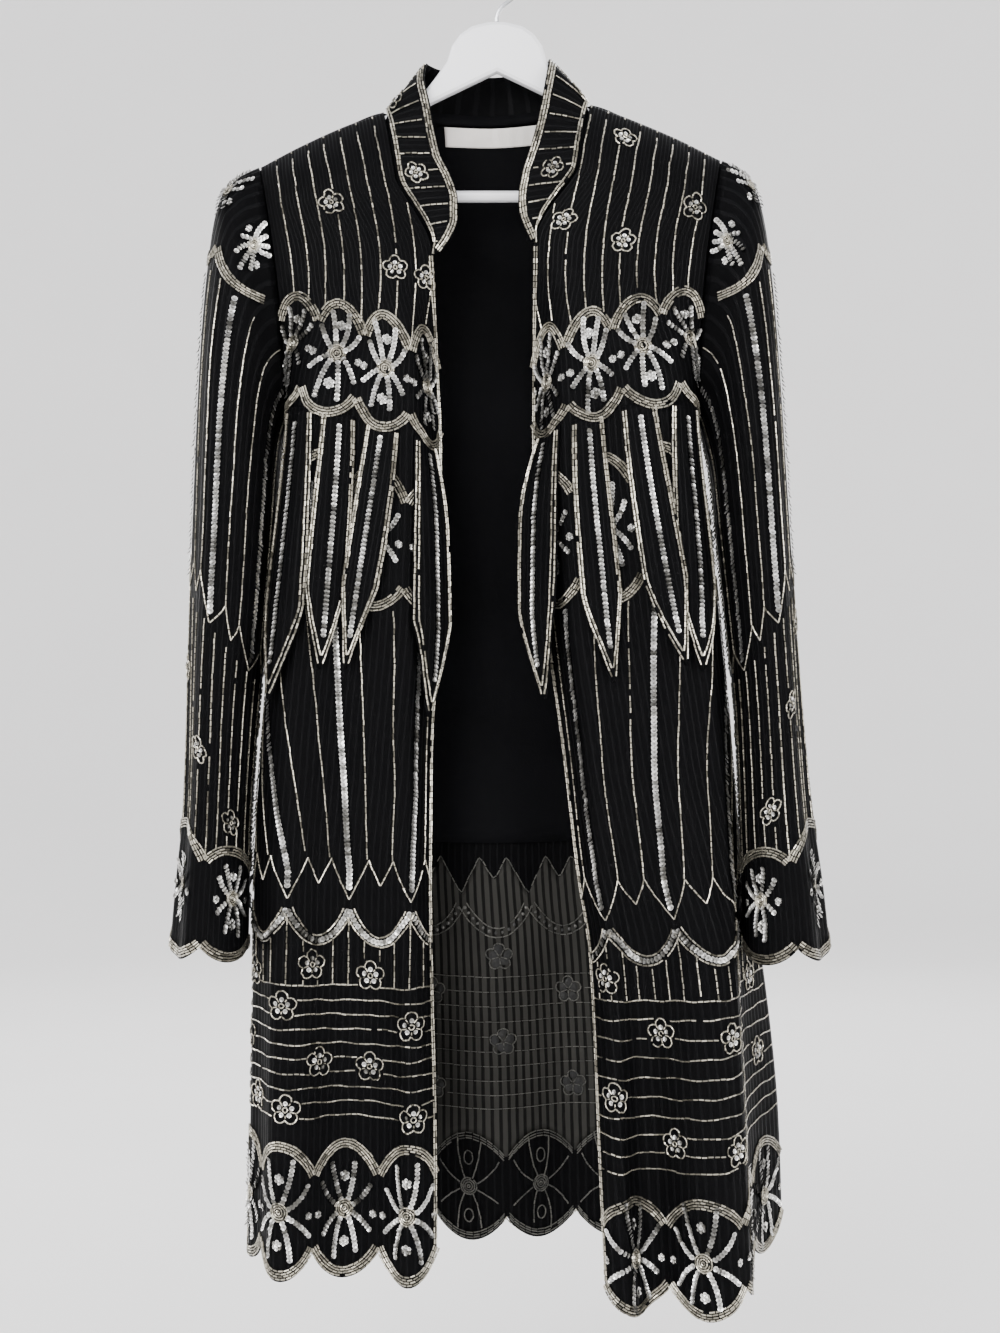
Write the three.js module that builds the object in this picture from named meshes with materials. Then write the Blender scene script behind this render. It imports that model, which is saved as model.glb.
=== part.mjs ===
// Duster jacket on a hanger: a beaded, open-fronted sheer jacket with a narrow collar, long sleeves,
// a row of pointed tails under its chest band and a black lining down to the hips.
// Millimetres, +Z up. The front faces -Y. Right and left are the wearer's: right is at -X.
// The origin is the inside top of the hanger hook's bend, where a rail carries it.
import * as THREE from 'three';

// Driving dimensions
const CLOTH = 1.4; // wall of the beaded cloth
const LINING = 1.1; // wall of the lining
const TAIL_WALL = 1.2; // wall of a hanging tail
const SEAM_GAP = 0.35; // space between two pieces at a seam
const SEAM_HOLD = 0.55; // how far a panel stops short of its side seam
const SHOULDER_HOLD = 0.8; // how far it starts below the shoulder seam
const CELLS_FRONT = 4; // scallops and beaded columns across one front
const CELLS_BACK = 8; // the same across the back
const CELLS_CUFF = 4; // scallops round a cuff
const SCALLOP_STEPS = 6; // wall points across one scallop
const SCALLOP_RISE = 26; // how far the cusps stand above the lows of the hem
const CUFF_RISE = 14; // the same at the cuffs
const SHOULDER_FALL = 66; // cloth from the shoulder seam down to the first section
const ARMHOLE_DROP = 295; // cloth from the shoulder seam down to the underarm
const HEM_DROP = 987; // cloth from the shoulder seam down to the lows of the hem
const LINING_OFFSET = 3.7; // lining's middle behind the beaded cloth's middle
const BACK_LINING_DROP = 628; // hem of the back lining
const FRONT_LINING_DROP = 642; // hem of the front linings
const TAIL_ROOT = 292; // where the tails are sewn on, under the chest band
const BOARD = { half: 203, thick: 10, bevel: 3.5, below: 3.6 }; // hanger board
const BAR = { radius: 5, z: -210, half: 179 }; // trouser bar of the hanger
const HOOK = { rod: 1.75, inside: 21, foot: -63 }; // steel hook of the hanger
const LABEL = { width: 80, height: 18, wall: 0.8, drop: 6, clear: 1.0 }; // blank neck label

// Height of the shoulder seam over the hanger, by distance from the middle
const SHOULDER = [
  { x: 80, z: -131 },
  { x: 97, z: -137.5 },
  { x: 133, z: -151 },
  { x: 170, z: -168 },
  { x: 203, z: -186 },
];

// Armhole loops, by their top, front, underarm and back points
const ARMHOLES = {
  right: { top: [-203, 0, -186], front: [-186, -34, -285], under: [-178, 2, -402], back: [-188, 34, -285] },
  left: { top: [192, 0, -180], front: [176, -34, -282], under: [170, 2, -400], back: [178, 34, -282] },
};

// How far round its armhole, in degrees from the top, a panel has come at each drop
const ARMHOLE_TURN = [
  { drop: 0, turn: 0 },
  { drop: 66, turn: 62 },
  { drop: 131, turn: 84 },
  { drop: 213, turn: 108 },
  { drop: 295, turn: 180 },
];

// Sections of each front from neckline or front edge to armhole or side seam, top to hem
const FRONT_COLUMNS = { edge: 0, inner: 0.25, outer: 0.62, side: 0.84, seam: 1 };
const FRONTS = {
  right: [
    { drop: 0, edge: [-97, 0, -137.5], inner: [-133, 0, -151], outer: [-170, 0, -168], side: [-190, 0, -178.5] },
    { drop: 66, edge: [-85, -33, -203], inner: [-118, -37, -212], outer: [-160, -38, -224], side: [-180, -36, -230] },
    { drop: 131, edge: [-53, -34, -268], inner: [-94, -42, -270], outer: [-148, -42, -272], side: [-174, -38, -273] },
    { drop: 213, edge: [-51, -18, -350], inner: [-77, -50, -340], outer: [-142, -50, -323], side: [-172, -38, -316] },
    { drop: 295, edge: [-48, -13, -432], inner: [-74, -52, -422], outer: [-148, -53, -402], side: [-174, -34, -400],
      seam: [-178, 2, -402] },
    { drop: 438, edge: [-50, -11, -575], inner: [-77, -52, -570], outer: [-162, -54, -562], side: [-187, -30, -560],
      seam: [-191, 5, -560] },
    { drop: 563, edge: [-56, -13, -700], inner: [-83, -50, -698], outer: [-174, -52, -691], side: [-199, -26, -689],
      seam: [-203, 8, -688] },
    { drop: 648, edge: [-56, -22, -785], inner: [-86, -48, -785], outer: [-180, -50, -780], side: [-205, -24, -779],
      seam: [-208, 10, -778] },
    { drop: 717, edge: [-55, -27, -855], inner: [-86, -50, -855], outer: [-182, -50, -850], side: [-206, -22, -849],
      seam: [-209, 12, -848] },
    { drop: 864, edge: [-51, -40, -1001], inner: [-84, -58, -1003], outer: [-184, -54, -998], side: [-209, -20, -996],
      seam: [-213, 14, -995] },
    { drop: 987, edge: [-50, -48, -1126], inner: [-84, -66, -1128], outer: [-186, -58, -1120], side: [-211, -20, -1115],
      seam: [-215, 15, -1112] },
  ],
  left: [
    { drop: 0, edge: [80, 0, -131], inner: [116, 0, -144.5], outer: [156, 0, -161.5], side: [178, 0, -172.5] },
    { drop: 66, edge: [69, -33, -193], inner: [103, -37, -204], outer: [148, -38, -217], side: [170, -36, -225] },
    { drop: 131, edge: [30, -34, -260], inner: [72, -42, -263], outer: [136, -42, -268], side: [165, -38, -270] },
    { drop: 213, edge: [31, -18, -349], inner: [60, -50, -338], outer: [128, -50, -318], side: [162, -38, -311] },
    { drop: 295, edge: [31, -14, -424], inner: [60, -52, -413], outer: [136, -53, -396], side: [166, -34, -398],
      seam: [170, 2, -400] },
    { drop: 438, edge: [41, -14, -566], inner: [70, -54, -563], outer: [158, -55, -558], side: [184, -32, -558],
      seam: [190, 5, -560] },
    { drop: 563, edge: [57, -20, -690], inner: [86, -60, -691], outer: [176, -60, -690], side: [197, -30, -690],
      seam: [202, 8, -690] },
    { drop: 648, edge: [68, -34, -788], inner: [98, -70, -789], outer: [186, -66, -785], side: [201, -28, -780],
      seam: [214, 26, -778] },
    { drop: 717, edge: [78, -45, -856], inner: [106, -80, -857], outer: [192, -78, -853], side: [203, -26, -850],
      seam: [229, 36, -848] },
    { drop: 864, edge: [85, -75, -1035], inner: [114, -103, -1038], outer: [199, -98, -1032], side: [210, -36, -1018],
      seam: [247, 38, -1008] },
    { drop: 987, edge: [89, -92, -1137], inner: [120, -112, -1141], outer: [202, -108, -1137], side: [214, -42, -1124],
      seam: [251, 40, -1114] },
  ],
};

// Sections of the back from the right armhole or side seam to the left one, top to hem
const BACK_COLUMNS = { seamRight: 0, sideRight: 0.09, right: 0.29, centre: 0.5, left: 0.71, sideLeft: 0.91, seamLeft: 1 };
const BACK = [
  { drop: 66, sideRight: [-180, 33, -232], right: [-100, 32, -206], centre: [-6, 30, -208], left: [88, 32, -202],
    sideLeft: [171, 33, -227] },
  { drop: 131, sideRight: [-175, 39, -273], right: [-100, 38, -271], centre: [-5, 34, -273], left: [88, 38, -267],
    sideLeft: [166, 39, -270] },
  { drop: 213, sideRight: [-172, 40, -320], right: [-98, 42, -353], centre: [-4, 38, -355], left: [88, 42, -349],
    sideLeft: [162, 40, -316] },
  { drop: 295, seamRight: [-178, 2, -402], sideRight: [-172, 28, -406], right: [-96, 46, -435],
    centre: [-4, 40, -437], left: [90, 46, -431], sideLeft: [164, 28, -404], seamLeft: [170, 2, -400] },
  { drop: 438, seamRight: [-191, 5, -560], sideRight: [-186, 30, -562], right: [-104, 48, -578],
    centre: [0, 40, -580], left: [98, 50, -575], sideLeft: [184, 31, -562], seamLeft: [190, 5, -560] },
  { drop: 563, seamRight: [-203, 8, -688], sideRight: [-198, 32, -690], right: [-111, 50, -703],
    centre: [4, 42, -705], left: [110, 52, -700], sideLeft: [197, 35, -692], seamLeft: [202, 8, -690] },
  { drop: 648, seamRight: [-208, 10, -778], sideRight: [-203, 35, -780], right: [-115, 52, -788],
    centre: [7, 44, -789], left: [118, 56, -786], sideLeft: [206, 47, -781], seamLeft: [214, 26, -778] },
  { drop: 717, seamRight: [-209, 12, -848], sideRight: [-204, 37, -850], right: [-117, 54, -857],
    centre: [9, 46, -858], left: [124, 60, -855], sideLeft: [216, 57, -851], seamLeft: [229, 36, -848] },
  { drop: 864, seamRight: [-213, 14, -995], sideRight: [-207, 41, -998], right: [-121, 58, -1013],
    centre: [12, 52, -1015], left: [130, 68, -1012], sideLeft: [231, 62, -1010], seamLeft: [247, 38, -1008] },
  { drop: 987, seamRight: [-215, 15, -1112], sideRight: [-209, 43, -1114], right: [-123, 62, -1121],
    centre: [14, 55, -1122], left: [133, 72, -1120], sideLeft: [234, 66, -1116], seamLeft: [251, 40, -1114] },
];
// The back's top edge: shoulder seam, back neck, shoulder seam
const BACK_TOP = [
  { at: 0, point: [-203, 0, -186] },
  { at: 0.1, point: [-170, 0, -168] },
  { at: 0.21, point: [-133, 0, -151] },
  { at: 0.31, point: [-97, 0, -137.5] },
  { at: 0.33, point: [-92.5, 7.5, -137.7] },
  { at: 0.4, point: [-60, 19, -139] },
  { at: 0.5, point: [-8, 25, -141] },
  { at: 0.6, point: [43, 19, -137] },
  { at: 0.67, point: [75.5, 7.5, -131.6] },
  { at: 0.69, point: [80, 0, -131] },
  { at: 0.79, point: [116, 0, -144.5] },
  { at: 0.9, point: [156, 0, -161.5] },
  { at: 1, point: [192, 0, -180] },
];

// Standing folds: where across the section, how wide, how far out (- is in), and the drops
// between which each grows. A fold runs down to the hem.
const FRONT_FOLDS = {
  right: [
    { at: 0.1, width: 0.16, depth: 6, from: 300, to: 700 },
    { at: 0.36, width: 0.2, depth: -22, from: 420, to: 980 },
    { at: 0.56, width: 0.18, depth: 12, from: 470, to: 980 },
    { at: 0.74, width: 0.14, depth: -12, from: 520, to: 980 },
    { at: 0.45, width: 0.12, depth: -5, from: 140, to: 260 },
    { at: 0.9, width: 0.1, depth: -6, from: 600, to: 980 },
  ],
  left: [
    { at: 0.06, width: 0.12, depth: 7, from: 560, to: 900 },
    { at: 0.3, width: 0.17, depth: -34, from: 420, to: 980 },
    { at: 0.48, width: 0.16, depth: 6, from: 480, to: 980 },
    { at: 0.4, width: 0.12, depth: -5, from: 140, to: 260 },
    { at: 0.62, width: 0.1, depth: -6, from: 330, to: 620 },
    { at: 0.92, width: 0.08, depth: -7, from: 700, to: 980 },
  ],
};
const BACK_FOLDS = [
  { at: 0.12, width: 0.12, depth: 10, from: 320, to: 900 },
  { at: 0.24, width: 0.12, depth: -12, from: 360, to: 960 },
  { at: 0.36, width: 0.12, depth: 11, from: 300, to: 900 },
  { at: 0.47, width: 0.11, depth: -10, from: 420, to: 960 },
  { at: 0.58, width: 0.11, depth: 9, from: 380, to: 900 },
  { at: 0.68, width: 0.11, depth: -12, from: 340, to: 960 },
  { at: 0.79, width: 0.12, depth: 12, from: 320, to: 900 },
  { at: 0.9, width: 0.1, depth: -8, from: 400, to: 960 },
];

// Rings of each sleeve by their outer, front, inner and back points, armhole to cuff
const SLEEVES = {
  right: [
    { along: 14, top: [-219, 0, -194], front: [-196, -42, -289], under: [-182, 2, -411], back: [-198, 41, -289] },
    { along: 40, top: [-236, 0, -215], front: [-208, -55, -305], under: [-185, 1, -428], back: [-208, 51, -305] },
    { along: 90, top: [-244, -2, -262], front: [-216, -64, -345], under: [-187, -1, -452], back: [-214, 56, -345] },
    { along: 170, top: [-251, -4, -345], front: [-222, -70, -415], under: [-190, -4, -500], back: [-220, 56, -415] },
    { along: 280, top: [-257, -6, -470], front: [-227, -72, -520], under: [-196, -8, -575], back: [-226, 52, -520] },
    { along: 400, top: [-261, -8, -595], front: [-234, -70, -630], under: [-205, -12, -665], back: [-233, 46, -630] },
    { along: 520, top: [-265, -10, -725], front: [-239, -68, -745], under: [-211, -15, -762], back: [-238, 40, -745] },
    { along: 600, top: [-272, -12, -800], front: [-243, -67, -808], under: [-212, -16, -815], back: [-242, 36, -808] },
    { along: 652, top: [-277, -13, -857], front: [-246, -66, -859], under: [-213, -16, -861], back: [-245, 34, -859] },
  ],
  left: [
    { along: 14, top: [207, 0, -188], front: [186, -42, -286], under: [174, 2, -409], back: [188, 41, -286] },
    { along: 40, top: [222, 0, -211], front: [198, -55, -303], under: [178, 1, -426], back: [198, 51, -303] },
    { along: 90, top: [231, -2, -262], front: [206, -64, -343], under: [183, -1, -450], back: [205, 56, -343] },
    { along: 170, top: [238, -4, -345], front: [214, -70, -413], under: [188, -4, -500], back: [212, 56, -413] },
    { along: 280, top: [246, -6, -470], front: [222, -73, -520], under: [196, -9, -575], back: [220, 50, -520] },
    { along: 400, top: [254, -9, -595], front: [230, -75, -630], under: [204, -17, -665], back: [229, 38, -630] },
    { along: 520, top: [265, -14, -725], front: [237, -78, -745], under: [207, -26, -762], back: [236, 26, -745] },
    { along: 600, top: [275, -18, -800], front: [243, -80, -808], under: [208, -31, -815], back: [241, 18, -808] },
    { along: 652, top: [281, -20, -857], front: [247, -80, -859], under: [209, -32, -861], back: [244, 14, -859] },
  ],
};
// Soft creases of the sleeves: at the ring's turn in degrees, half-width, depth, along the sleeve
const SLEEVE_FOLDS = [
  { turn: 40, width: 26, depth: -5, from: 60, to: 640 },
  { turn: 75, width: 24, depth: 4, from: 200, to: 640 },
  { turn: 250, width: 28, depth: -6, from: 100, to: 600 },
  { turn: 315, width: 26, depth: 5, from: 160, to: 640 },
];

// Collar stations from the right front's tip round the back neck to the left front's tip: the free
// edge, and where its seam lies, down a front edge (drop) or along the back neck (at)
const COLLAR = [
  { front: 'right', drop: 130, free: [-48, -37, -266] },
  { front: 'right', drop: 118, free: [-39, -37, -254] },
  { front: 'right', drop: 104, free: [-33, -37, -237] },
  { front: 'right', drop: 86, free: [-33, -36, -221] },
  { front: 'right', drop: 66, free: [-39, -34, -201] },
  { front: 'right', drop: 47, free: [-48, -31, -182] },
  { front: 'right', drop: 30, free: [-52, -27, -165] },
  { front: 'right', drop: 12, free: [-57, -21, -136] },
  { front: 'right', drop: 1, free: [-62, -10, -111] },
  { at: 0.34, free: [-60, 6, -94] },
  { at: 0.4, free: [-44, 22, -96] },
  { at: 0.5, free: [-7, 29, -99] },
  { at: 0.6, free: [30, 23, -96] },
  { at: 0.66, free: [45, 8, -90] },
  { front: 'left', drop: 1, free: [44, -8, -98] },
  { front: 'left', drop: 12, free: [40, -19, -122] },
  { front: 'left', drop: 30, free: [34, -26, -154] },
  { front: 'left', drop: 47, free: [28, -30, -176] },
  { front: 'left', drop: 66, free: [21, -33, -199] },
  { front: 'left', drop: 86, free: [18, -35, -220] },
  { front: 'left', drop: 104, free: [20, -36, -237] },
  { front: 'left', drop: 118, free: [25, -37, -248] },
  { front: 'left', drop: 130, free: [29, -37, -256] },
];
const COLLAR_CLEAR = { front: 2.45, back: 1.2 }; // from the seam line to the collar's edge
const COLLAR_CURVE = 5; // how far the collar's middle stands off the straight line across it

// Tails under the chest band: middle at the root and at the tip, across the panel, the drop of
// the tip and how far the tip stands off the cloth. Turn is how much further out the edge towards
// the opening stands than the other one.
const FRONT_TAILS = {
  right: [
    { root: 0.155, tip: 0.13, drop: 520, off: 8, turn: 11 },
    { root: 0.36, tip: 0.46, drop: 486, off: 11 },
    { root: 0.56, tip: 0.57, drop: 488, off: 6 },
    { root: 0.74, tip: 0.72, drop: 516, off: 11 },
  ],
  left: [
    { root: 0.145, tip: 0.06, drop: 514, off: 16, turn: 17 },
    { root: 0.33, tip: 0.32, drop: 502, off: 6 },
    { root: 0.55, tip: 0.6, drop: 490, off: 12 },
    { root: 0.75, tip: 0.68, drop: 494, off: 5 },
  ],
};
const BACK_TAILS = [
  { root: 0.13, tip: 0.14, drop: 505, off: 7 },
  { root: 0.24, tip: 0.22, drop: 492, off: 9 },
  { root: 0.345, tip: 0.36, drop: 510, off: 7 },
  { root: 0.448, tip: 0.44, drop: 498, off: 9 },
  { root: 0.552, tip: 0.56, drop: 506, off: 8 },
  { root: 0.655, tip: 0.65, drop: 490, off: 9 },
  { root: 0.76, tip: 0.78, drop: 508, off: 7 },
  { root: 0.87, tip: 0.86, drop: 495, off: 8 },
];
const TAIL = { rootHalf: 14, bellyHalf: 17.5, shoulder: 0.66, tipHalf: 0.5, cup: 2.5, turnOver: 0.33 };
const TAIL_ROOT_OFF = { front: 2.3, back: 1.95 }; // middle of a tail's root off the cloth's middle

const black = (name, color, roughness) => new THREE.MeshStandardMaterial({ name, color, roughness });
const BEADED = black('beaded_cloth', '#17161a', 0.62);
const TRIM = black('tail_cloth', '#1f1e22', 0.6);
const CREPE = black('lining_crepe', '#0d0d10', 0.75);
const SATIN = black('label_satin', '#e4e0dc', 0.5);
const PAINT = black('white_paint', '#e9e9ec', 0.35);
const STEEL = new THREE.MeshStandardMaterial({ name: 'steel', color: '#b8bac0', roughness: 0.25, metalness: 1 });

// Smooth interpolation that never overshoots its table
function smooth(xs, ys, x) {
  const last = xs.length - 1;
  if (x <= xs[0]) return ys[0];
  if (x >= xs[last]) return ys[last];
  let k = 0;
  while (x > xs[k + 1]) k += 1;
  const slope = (i) => (ys[i + 1] - ys[i]) / (xs[i + 1] - xs[i]);
  const tangent = (i) => {
    if (i === 0) return slope(0);
    if (i === last) return slope(last - 1);
    const before = slope(i - 1);
    const after = slope(i);
    return before * after <= 0 ? 0 : (2 * before * after) / (before + after);
  };
  const h = xs[k + 1] - xs[k];
  const t = (x - xs[k]) / h;
  const rise = ys[k + 1] - ys[k];
  const a = h * tangent(k) - rise;
  const b = rise - h * tangent(k + 1);
  return ys[k] + rise * t + t * (1 - t) * (a * (1 - t) + b * t);
}

const smoothPoint = (xs, points, x) =>
  new THREE.Vector3(...[0, 1, 2].map((axis) => smooth(xs, points.map((p) => p[axis]), x)));

// A closed ring through four points: turn 0 is the top, 90 the front, 180 the underarm, 270 the back
function ringPoint({ top, front, under, back }, turn) {
  const a = THREE.MathUtils.degToRad(turn);
  const at = (axis) => {
    const middle = (top[axis] + front[axis] + under[axis] + back[axis]) / 4;
    const squash = (top[axis] + under[axis] - front[axis] - back[axis]) / 4;
    const tall = (top[axis] - under[axis]) / 2;
    const deep = (front[axis] - back[axis]) / 2;
    return middle + tall * Math.cos(a) + deep * Math.sin(a) + squash * Math.cos(2 * a);
  };
  return new THREE.Vector3(at(0), at(1), at(2));
}

const armholeTurn = (drop) => smooth(ARMHOLE_TURN.map((r) => r.drop), ARMHOLE_TURN.map((r) => r.turn), drop);

// One column of a table of sections at a drop. Above the first section the cloth comes over the
// hanger: it moves out of the shoulder seam first, then falls.
function columnPoint(rows, name, start, drop) {
  const low = rows.filter((row) => row[name] && row.drop >= SHOULDER_FALL);
  if (drop >= SHOULDER_FALL) return smoothPoint(low.map((r) => r.drop), low.map((r) => r[name]), drop);
  const k = drop / SHOULDER_FALL;
  const end = low[0][name];
  return new THREE.Vector3(
    THREE.MathUtils.lerp(start[0], end[0], k),
    THREE.MathUtils.lerp(start[1], end[1], 1 - (1 - k) ** 1.8),
    THREE.MathUtils.lerp(start[2], end[2], k ** 1.15),
  );
}

// How strongly a fold shows at a place across and down its panel
function foldOut(folds, w, drop) {
  let out = 0;
  for (const fold of folds) {
    const near = Math.abs(w - fold.at) / fold.width;
    if (near >= 1) continue;
    const grown = THREE.MathUtils.smoothstep(drop, fold.from, fold.to);
    out += fold.depth * grown * Math.cos((near * Math.PI) / 2) ** 2;
  }
  return out;
}

// A panel by its section curve: facing is -1 for a front, +1 for the back. point(u, drop, off) is
// the cloth's middle at a share u of its cloth width, moved off it towards the outside.
function makePanel(sectionAt, folds, facing) {
  const STEPS = 72;
  const rows = new Map();
  function row(drop) {
    const key = drop.toFixed(3);
    if (rows.has(key)) return rows.get(key);
    const section = sectionAt(drop);
    const points = [];
    for (let i = 0; i <= STEPS; i += 1) {
      const p = section(i / STEPS);
      p.y += facing * foldOut(folds, i / STEPS, drop);
      points.push(p);
    }
    const lengths = [0];
    for (let i = 1; i <= STEPS; i += 1) lengths.push(lengths[i - 1] + points[i].distanceTo(points[i - 1]));
    rows.set(key, { points, lengths });
    return rows.get(key);
  }
  function middle(u, drop) {
    const { points, lengths } = row(drop);
    const goal = THREE.MathUtils.clamp(u, 0, 1) * lengths[STEPS];
    let k = 0;
    while (k < STEPS - 1 && goal > lengths[k + 1]) k += 1;
    return points[k].clone().lerp(points[k + 1], (goal - lengths[k]) / (lengths[k + 1] - lengths[k]));
  }
  function point(u, drop, off = 0) {
    if (off === 0) return middle(u, drop);
    const du = 0.012;
    const dd = 5;
    const across = middle(Math.min(u + du, 1), drop).sub(middle(Math.max(u - du, 0), drop));
    const down = middle(u, Math.min(drop + dd, HEM_DROP)).sub(middle(u, Math.max(drop - dd, 0)));
    const out = across.cross(down).normalize();
    if (out.y * facing < 0 && Math.abs(out.y) > 0.02) out.negate();
    return middle(u, drop).addScaledVector(out, off);
  }
  const width = (drop) => row(drop).lengths[STEPS];
  return { point, width };
}

function frontPanel(side) {
  const rows = FRONTS[side];
  const names = Object.keys(FRONT_COLUMNS);
  const at = Object.values(FRONT_COLUMNS);
  const sectionAt = (drop) => {
    const points = names.map((name) => {
      if (name === 'seam' && drop < ARMHOLE_DROP) return ringPoint(ARMHOLES[side], armholeTurn(drop));
      return columnPoint(rows, name, rows[0][name], drop);
    });
    return (w) => smoothPoint(at, points.map((p) => p.toArray()), w);
  };
  return makePanel(sectionAt, FRONT_FOLDS[side], -1);
}

function backPanel() {
  const names = Object.keys(BACK_COLUMNS);
  const at = Object.values(BACK_COLUMNS);
  const sides = { seamRight: 'right', seamLeft: 'left' };
  const low = (drop) => {
    const points = names.map((name) => {
      if (sides[name] && drop < ARMHOLE_DROP) return ringPoint(ARMHOLES[sides[name]], -armholeTurn(drop));
      return columnPoint(BACK, name, null, drop);
    });
    return (w) => smoothPoint(at, points.map((p) => p.toArray()), w);
  };
  const top = (w) => smoothPoint(BACK_TOP.map((r) => r.at), BACK_TOP.map((r) => r.point), w);
  const sectionAt = (drop) => {
    if (drop >= SHOULDER_FALL) return low(drop);
    const below = low(SHOULDER_FALL);
    const k = drop / SHOULDER_FALL;
    return (w) => {
      const start = top(w);
      const end = below(w);
      const blended = new THREE.Vector3(
        THREE.MathUtils.lerp(start.x, end.x, k),
        THREE.MathUtils.lerp(start.y, end.y, 1 - (1 - k) ** 1.8),
        THREE.MathUtils.lerp(start.z, end.z, k ** 1.15),
      );
      // The two ends follow the armholes exactly
      const hug = 0.14;
      for (const [side, away] of [['right', w], ['left', 1 - w]]) {
        if (away >= hug) continue;
        const loop = ringPoint(ARMHOLES[side], -armholeTurn(drop));
        const endPoint = side === 'right' ? [top(0), below(0)] : [top(1), below(1)];
        const plain = new THREE.Vector3(
          THREE.MathUtils.lerp(endPoint[0].x, endPoint[1].x, k),
          THREE.MathUtils.lerp(endPoint[0].y, endPoint[1].y, 1 - (1 - k) ** 1.8),
          THREE.MathUtils.lerp(endPoint[0].z, endPoint[1].z, k ** 1.15),
        );
        const share = 1 - THREE.MathUtils.smoothstep(away, 0, hug);
        blended.addScaledVector(loop.sub(plain), share);
      }
      return blended;
    };
  };
  return makePanel(sectionAt, BACK_FOLDS, 1);
}

// A closed wall over a grid of middle points. wrap joins the last column to the first.
function wallGeometry(grid, wall, wrap = false) {
  const rowCount = grid.length;
  const columns = grid[0].length;
  const columnAt = (c) => (wrap ? (c + columns) % columns : THREE.MathUtils.clamp(c, 0, columns - 1));
  const rowAt = (r) => THREE.MathUtils.clamp(r, 0, rowCount - 1);
  const positions = [];
  for (const face of [1, -1]) {
    for (let r = 0; r < rowCount; r += 1) {
      for (let c = 0; c < columns; c += 1) {
        const across = grid[r][columnAt(c + 1)].clone().sub(grid[r][columnAt(c - 1)]);
        const down = grid[rowAt(r + 1)][c].clone().sub(grid[rowAt(r - 1)][c]);
        const normal = across.cross(down).normalize();
        const p = grid[r][c].clone().addScaledVector(normal, (face * wall) / 2);
        positions.push(p.x, p.y, p.z);
      }
    }
  }
  const index = [];
  const inner = rowCount * columns;
  const id = (r, c) => r * columns + columnAt(c);
  const quad = (a, b, c, d) => index.push(a, b, c, a, c, d);
  const spans = wrap ? columns : columns - 1;
  for (let r = 0; r < rowCount - 1; r += 1) {
    for (let c = 0; c < spans; c += 1) {
      quad(id(r, c), id(r, c + 1), id(r + 1, c + 1), id(r + 1, c));
      quad(inner + id(r, c), inner + id(r + 1, c), inner + id(r + 1, c + 1), inner + id(r, c + 1));
    }
  }
  for (let c = 0; c < spans; c += 1) {
    const end = rowCount - 1;
    quad(id(0, c + 1), id(0, c), inner + id(0, c), inner + id(0, c + 1));
    quad(id(end, c), id(end, c + 1), inner + id(end, c + 1), inner + id(end, c));
  }
  for (let r = 0; r < rowCount - 1 && !wrap; r += 1) {
    const end = columns - 1;
    quad(id(r, 0), id(r + 1, 0), inner + id(r + 1, 0), inner + id(r, 0));
    quad(id(r + 1, end), id(r, end), inner + id(r, end), inner + id(r + 1, end));
  }
  return outward(positions, index);
}

// Turns a closed body's faces outward
function outward(positions, index) {
  const p = (i) => new THREE.Vector3().fromArray(positions, 3 * i);
  let volume = 0;
  for (let t = 0; t < index.length; t += 3) {
    volume += p(index[t]).dot(p(index[t + 1]).cross(p(index[t + 2])));
  }
  if (volume < 0) {
    for (let t = 0; t < index.length; t += 3) [index[t + 1], index[t + 2]] = [index[t + 2], index[t + 1]];
  }
  const geometry = new THREE.BufferGeometry();
  geometry.setAttribute('position', new THREE.Float32BufferAttribute(positions, 3));
  geometry.setIndex(index);
  return geometry;
}

const jacket = new THREE.Group();
function add(name, geometry, material) {
  const mesh = new THREE.Mesh(geometry, material);
  mesh.name = name;
  jacket.add(mesh);
}

// How far the edge stands above the lows at a place counted in scallops
const scallop = (cell, rise) => rise * (1 - Math.abs(Math.sin(Math.PI * cell)) ** 0.75);

// A grid over a panel: drops as shares of the way from its top to its hem
function panelGrid(panel, { columns, shares, from, to, top, hem, off = 0 }) {
  const across = Array.from({ length: columns + 1 }, (_, c) => THREE.MathUtils.lerp(from, to, c / columns));
  return shares.map((share) => across.map((u) => {
    const start = top(u);
    return panel.point(u, start + (hem(u) - start) * share, off);
  }));
}

const panels = { right: frontPanel('right'), left: frontPanel('left'), back: backPanel() };
const PANEL_SHARES = [0, 0.006, 0.017, 0.04, 0.075, 0.133, 0.175, 0.216, 0.258, 0.305, 0.38, 0.46, 0.55,
  0.64, 0.73, 0.82, 0.91, 1];

function addPanel(name, panel, cells) {
  const hold = (drop) => SEAM_HOLD / panel.width(drop);
  const grid = PANEL_SHARES.map((share) => {
    const columns = cells * SCALLOP_STEPS;
    return Array.from({ length: columns + 1 }, (_, c) => {
      const u = c / columns;
      const hem = HEM_DROP - scallop(u * cells, SCALLOP_RISE);
      const drop = SHOULDER_HOLD + (hem - SHOULDER_HOLD) * share;
      return panel.point(THREE.MathUtils.clamp(u, hold(drop), 1 - hold(drop)), drop);
    });
  });
  add(name, wallGeometry(grid, CLOTH), BEADED);
}
addPanel('front_right', panels.right, CELLS_FRONT);
addPanel('front_left', panels.left, CELLS_FRONT);
addPanel('back_panel', panels.back, CELLS_BACK);

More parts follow.
